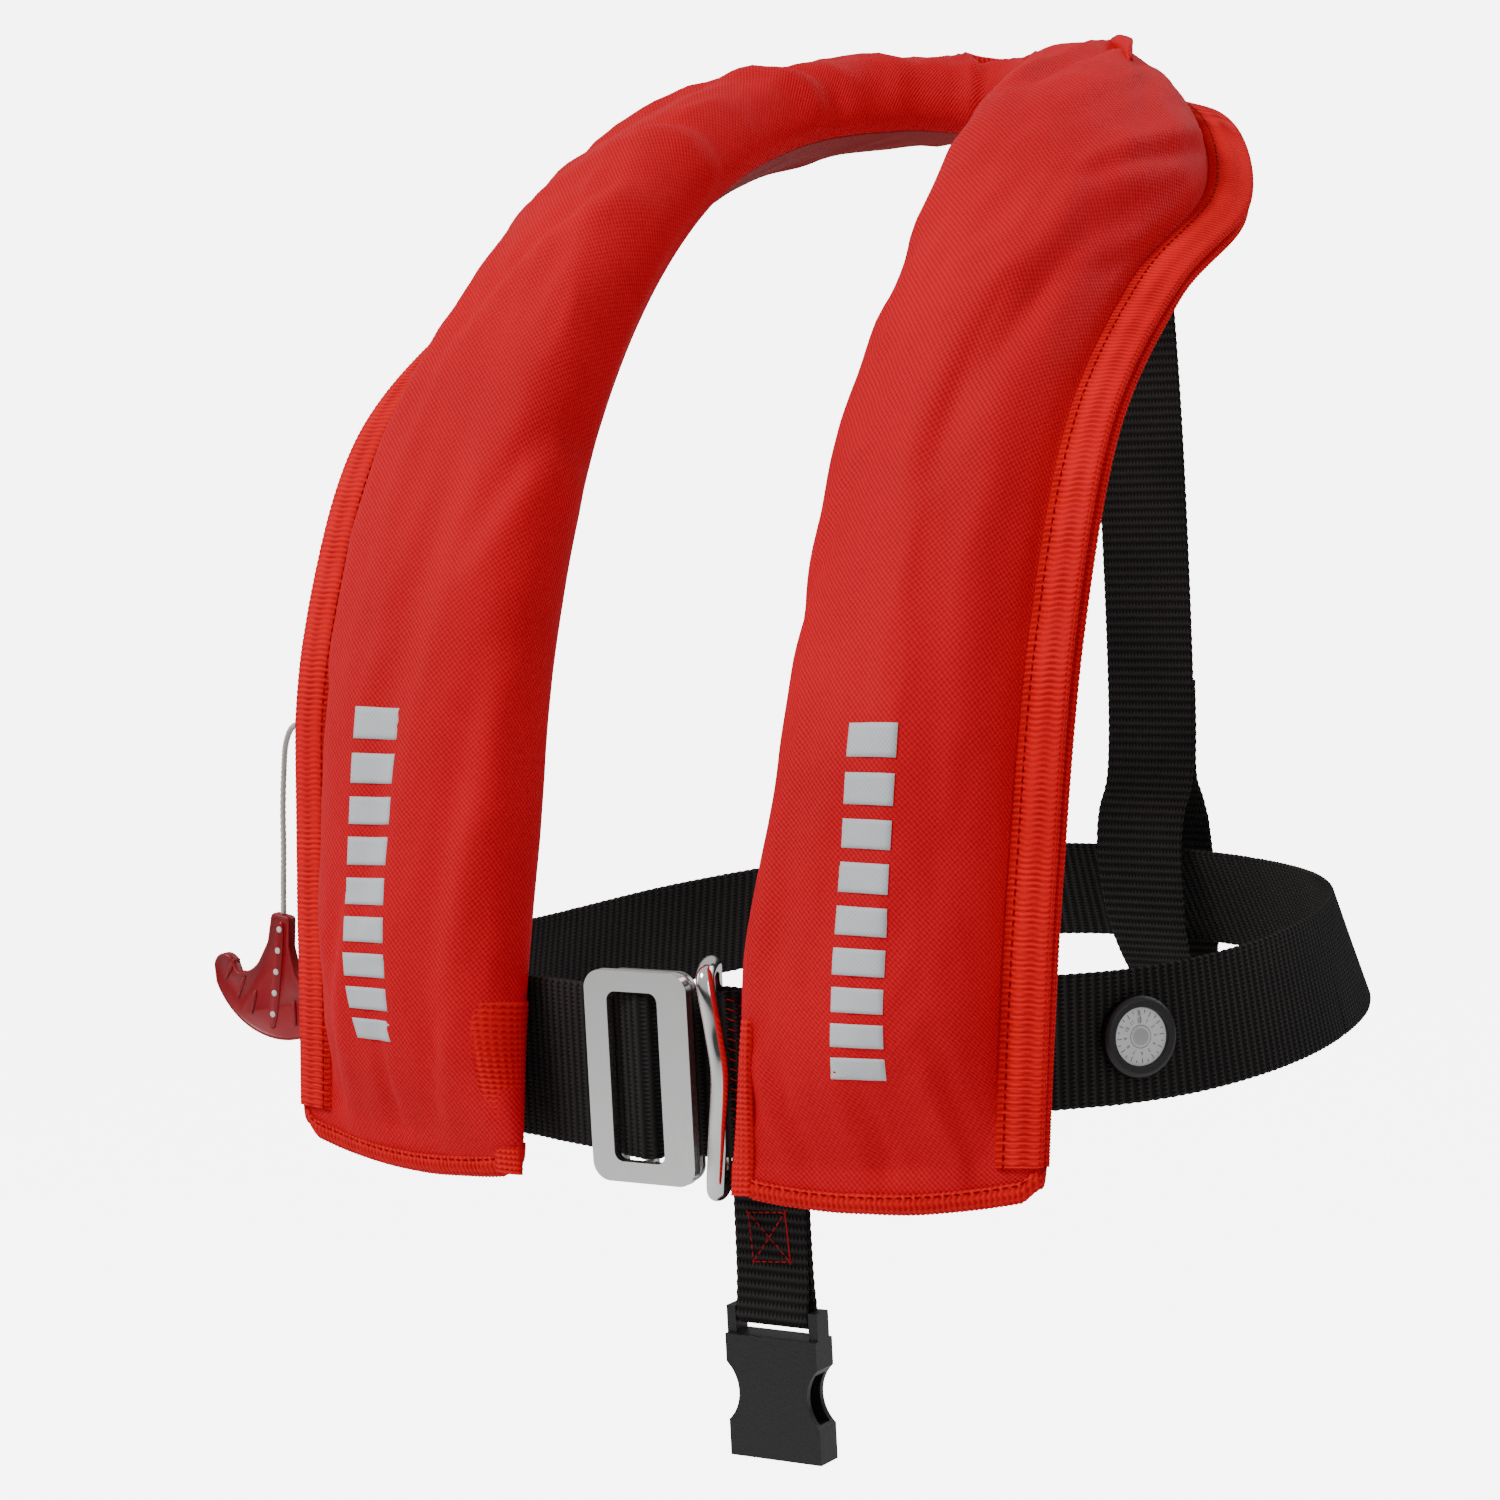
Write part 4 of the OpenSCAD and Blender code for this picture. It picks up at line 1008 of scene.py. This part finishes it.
spring("valve_spring", (0, -0.406737, -0.913545), -0.12847)
spring("piercing_spring", (0, -0.224951, -0.97437), -0.18444)
RING_H = 30.5
TOE = (LEG[0] + 20 * 0.45, LEG[1] - 20 * 0.89)
RING_ROUTE = [
    (LEG[0], LEG[1], BELT_Z - RING_H + 2), (LEG[0], LEG[1], BELT_Z - RING_H / 3),
    (LEG[0], LEG[1], BELT_Z + RING_H / 3), (LEG[0], LEG[1], BELT_Z + RING_H - 2),
    (LEG[0] + 2.4, LEG[1] - 4, BELT_Z + RING_H + 2.5), (TOE[0] - 2, TOE[1] + 4, BELT_Z + RING_H + 2.5),
    (TOE[0], TOE[1], BELT_Z + RING_H - 1), (TOE[0] + 2, TOE[1], BELT_Z + 16),
    (TOE[0] + 3.4, TOE[1], BELT_Z + 3), (TOE[0] + 1.6, TOE[1], BELT_Z - 14),
    (TOE[0], TOE[1], BELT_Z - RING_H + 1), (TOE[0] - 2, TOE[1] + 4, BELT_Z - RING_H - 2.5),
    (LEG[0] + 2.4, LEG[1] - 4, BELT_Z - RING_H - 2.5)]
tube("ring_steel", RING_ROUTE, 2.8, "ring", "harness_ring", MATERIALS["steel"], 24, 10, True)

CORD_ROUTE = [
    (-107, -219.2, -169.7), (-107, -220.4, -175), (-107.6, -220.6, -180.5), (-110.4, -218.8, -186),
    (-116, -217, -188.8), (-123, -216.6, -189.1), (-130, -216.5, -189), (-137.5, -216.4, -189.1),
    (-144, -214.6, -191), (-150, -211, -197), (-154, -208, -206.5), (-157, -206, -219),
    (-159, -204.5, -232), (-161, -203.3, -244), (-162, -203, -254)]
cord, cord_line = tube("pull_line", CORD_ROUTE, 1.0, None, "pull_cord", MATERIALS["cord_white"],
                       18, 14, False, 3, 1.3)
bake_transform(cord)

HANDLE_AT = Vector((-162, -203, -254))
HANDLE_TURN = Matrix.Rotation(math.radians(10), 3, "Y") @ Matrix.Rotation(math.radians(90), 3, "X")


def handle_outline():
    half = (turn((2.5, -1.5), 1.5, 90, 0, 5) + [(4.6, -10)] + turn((17, -12.5), 10.5, 200, 265, 14)
            + turn((21.5, -22.5), 4.5, 140, -20, 14) + turn((0, -13), 29, -32, -88, 20))
    return half + [(-x, y) for x, y in reversed(half)]


def inset(outline, d):
    """The outline moved inwards by d."""
    n = len(outline)
    out = []
    for i in range(n):
        a, b, c = (Vector(outline[(i + k) % n]) for k in (-1, 0, 1))
        t = (c - a).normalized()
        out.append((b.x + t.y * d, b.y - t.x * d))
    return out


def make_handle():
    outline = handle_outline()
    levels = [(1.5, 1.25), (1.15, 1.75), (0.7, 1.98), (0.25, 1.8), (0.0, 1.3)]
    rings = []
    for d, h in levels:
        rings.append([(x, y, h) for x, y in inset(outline, d)])
    for d, h in reversed(levels):
        rings.append([(x, y, -h) for x, y in inset(outline, d)])
    verts, faces = sew_rings(rings)
    base = len(verts)
    # Central ridge and generic grip bars on both faces.
    bars = [((0, -20.5), 2.2, 19.0, 0.0)]
    for x, a in ((-19.5, -28), (-14.2, -20), (-8.6, -11), (8.6, 11), (14.2, 20), (19.5, 28)):
        bars.append(((x, -33.5 + 0.028 * x * x), 0.8, 4.2, math.radians(a)))
    for (cx, cy), hw, hl, a in bars:
        for face in (1, -1):
            ring0, ring1 = [], []
            for j in range(16):
                q = 2 * math.pi * j / 16
                px = math.copysign(abs(math.cos(q)) ** 0.6, math.cos(q)) * hw
                py = math.copysign(abs(math.sin(q)) ** 0.6, math.sin(q)) * hl
                for ring, g, h in ((ring0, 1.0, 1.0), (ring1, 0.72, 1.72)):
                    x = cx + (px * math.cos(a) - py * math.sin(a)) * g
                    y = cy + (px * math.sin(a) + py * math.cos(a)) * (1 - (1 - g) * 0.25)
                    ring.append((x, y, face * h))
            b = len(verts)
            verts += ring0 + ring1
            faces += band(b, 16, face < 0)
            top = tuple(b + 16 + j for j in range(16))
            faces.append(top if face > 0 else top[::-1])
            faces.append(tuple(b + j for j in range(16))[::-face])
    pts = [HANDLE_AT + HANDLE_TURN @ Vector(v) for v in verts]
    new_piece("handle_moulding", pts, faces, MATERIALS["red_plastic"], body="handle", node="pull_handle")
    dots, dfaces = [], []
    for i in range(5):
        for face in (1, -1):
            c = (0, -5 - 7.2 * i)
            b = len(dots)
            for r, h in ((1.05, 1.6), (1.05, 1.82), (0.7, 1.95)):
                for j in range(14):
                    a = 2 * math.pi * j / 14
                    dots.append((c[0] + r * math.cos(a), c[1] + r * math.sin(a), face * h))
            dfaces += band(b, 14, face < 0) + band(b + 14, 14, face < 0)
            top = tuple(b + 28 + j for j in range(14))
            dfaces.append(top if face > 0 else top[::-1])
    pts = [HANDLE_AT + HANDLE_TURN @ Vector(v) for v in dots]
    new_piece("handle_cord_knots", pts, dfaces, MATERIALS["cord_white"], body="handle")


make_handle()

DIAL_AT = Vector((127.6, -165, -284))
DIAL_TURN = Matrix.Rotation(math.radians(57), 3, "Z") @ Matrix.Rotation(math.radians(86), 3, "X")


def make_dial_marks():
    """Twelve ticks, a ring and the numbers 1 to 12 printed on the disc."""
    verts, faces = [], []
    z0, z1 = 4.08, 4.2
    for i in range(24):
        a = 2 * math.pi * i / 24
        long = 1.5 if i % 2 == 0 else 0.8
        for r0, r1, hw in ((7.9 - long, 7.9, 0.13),):
            c, s = math.cos(a), math.sin(a)
            b = len(verts)
            for z in (z0, z1):
                verts += [(r * c - w * s, r * s + w * c, z)
                          for r, w in ((r0, -hw), (r1, -hw), (r1, hw), (r0, hw))]
            faces.append((b + 4, b + 5, b + 6, b + 7))
            faces += band(b, 4)
    for r0, r1 in ((3.3, 3.5),):
        b = len(verts)
        m = 48
        for r in (r0, r1):
            verts += [(r * math.cos(2 * math.pi * j / m), r * math.sin(2 * math.pi * j / m), z1)
                      for j in range(m)]
        faces += [(b + j, b + m + j, b + m + (j + 1) % m, b + (j + 1) % m) for j in range(m)]
    pts = [DIAL_AT + DIAL_TURN @ Vector(v) for v in verts]
    new_piece("dial_marks", pts, faces, EXTRA["dial_ink"], body="dial", smooth=False)
    for i in range(12):
        cu = bpy.data.curves.new("dial_number", "FONT")
        cu.body, cu.size, cu.align_x, cu.align_y = str(i + 1), 1.7 * MM, "CENTER", "CENTER"
        cu.extrude = 0.04 * MM
        a = math.radians(90 - 30 * (i + 1))
        t = bpy.data.objects.new("dial_number_%d" % (i + 1), cu)
        bpy.context.collection.objects.link(t)
        spot = DIAL_AT + DIAL_TURN @ Vector((5.0 * math.cos(a), 5.0 * math.sin(a), 4.14))
        upright = Matrix.Rotation(a - math.pi / 2, 4, "Z")
        t.matrix_world = Matrix.Translation(spot * MM) @ DIAL_TURN.to_4x4() @ upright
        bpy.context.view_layer.update()
        me = bpy.data.meshes.new_from_object(t.evaluated_get(bpy.context.evaluated_depsgraph_get()))
        me.transform(t.matrix_world)
        bpy.data.objects.remove(t)
        o = bpy.data.objects.new("dial_number_%d" % (i + 1), me)
        me.materials.clear()
        me.materials.append(EXTRA["dial_ink"])
        bpy.context.collection.objects.link(o)
        settle(o, "dial", None)


make_dial_marks()

# ---------------------------------------------------------------- studio


def make_studio():
    me = bpy.data.meshes.new("floor")
    me.from_pydata([(-6, -4, -0.66), (6, -4, -0.66), (6, 7, -0.66), (-6, 7, -0.66)], [], [(0, 1, 2, 3)])
    floor = bpy.data.objects.new("floor", me)
    bpy.context.collection.objects.link(floor)
    paint = Shader("floor_paint", (0.80, 0.80, 0.80), 0.9, Emission_Color=(1.0, 1.0, 1.0),
                   Specular_IOR_Level=0.0)
    seen_directly = paint.add("ShaderNodeLightPath").outputs["Is Camera Ray"]
    paint.link(paint.calc("MULTIPLY", seen_directly, 6.0), paint.p.inputs["Emission Strength"])
    me.materials.append(paint.m)
    world = bpy.data.worlds.new("studio")
    bpy.context.scene.world = world
    world.use_nodes = True
    world.node_tree.nodes["Background"].inputs[0].default_value = (1, 1, 1, 1)
    world.node_tree.nodes["Background"].inputs[1].default_value = 1.0
    wt = world.node_tree
    where, split, band = (wt.nodes.new("ShaderNode" + k) for k in ("TexCoord", "SeparateXYZ", "ValToRGB"))
    wt.links.new(where.outputs["Generated"], split.inputs[0])
    lift = wt.nodes.new("ShaderNodeMath")
    lift.operation = "MULTIPLY_ADD"
    lift.inputs[1].default_value, lift.inputs[2].default_value = 0.5, 0.5
    wt.links.new(split.outputs[2], lift.inputs[0])
    wt.links.new(lift.outputs[0], band.inputs[0])
    greys = ((0.0, 0.3), (0.40, 0.15), (0.47, 0.02), (0.54, 0.06), (0.60, 0.5), (1.0, 0.6))
    for i, (spot, grey) in enumerate(greys):
        e = band.color_ramp.elements[i] if i < 2 else band.color_ramp.elements.new(spot)
        e.position, e.color = spot, (grey, grey, grey, 1)
    seen, path = wt.nodes.new("ShaderNodeMix"), wt.nodes.new("ShaderNodeLightPath")
    seen.inputs[3].default_value = 6.5
    wt.links.new(path.outputs["Is Camera Ray"], seen.inputs[0])
    wt.links.new(band.outputs[0], seen.inputs[2])
    wt.links.new(seen.outputs[0], wt.nodes["Background"].inputs[1])
    target = Vector((0, -0.08, -0.16))
    for name, spot, size, power in (
            ("key", (-0.7, -1.5, 1.5), 0.7, 34), ("fill", (2.2, -0.9, 0.5), 1.0, 6),
            ("rim", (0.6, 1.7, 1.1), 1.2, 8), ("left", (-2.0, -0.5, 0.3), 1.0, 5)):
        data = bpy.data.lights.new(name, "AREA")
        data.energy, data.size = power, size
        lamp = bpy.data.objects.new(name, data)
        lamp.location = spot
        lamp.rotation_euler = (target - Vector(spot)).to_track_quat("-Z", "Y").to_euler()
        bpy.context.collection.objects.link(lamp)


make_studio()
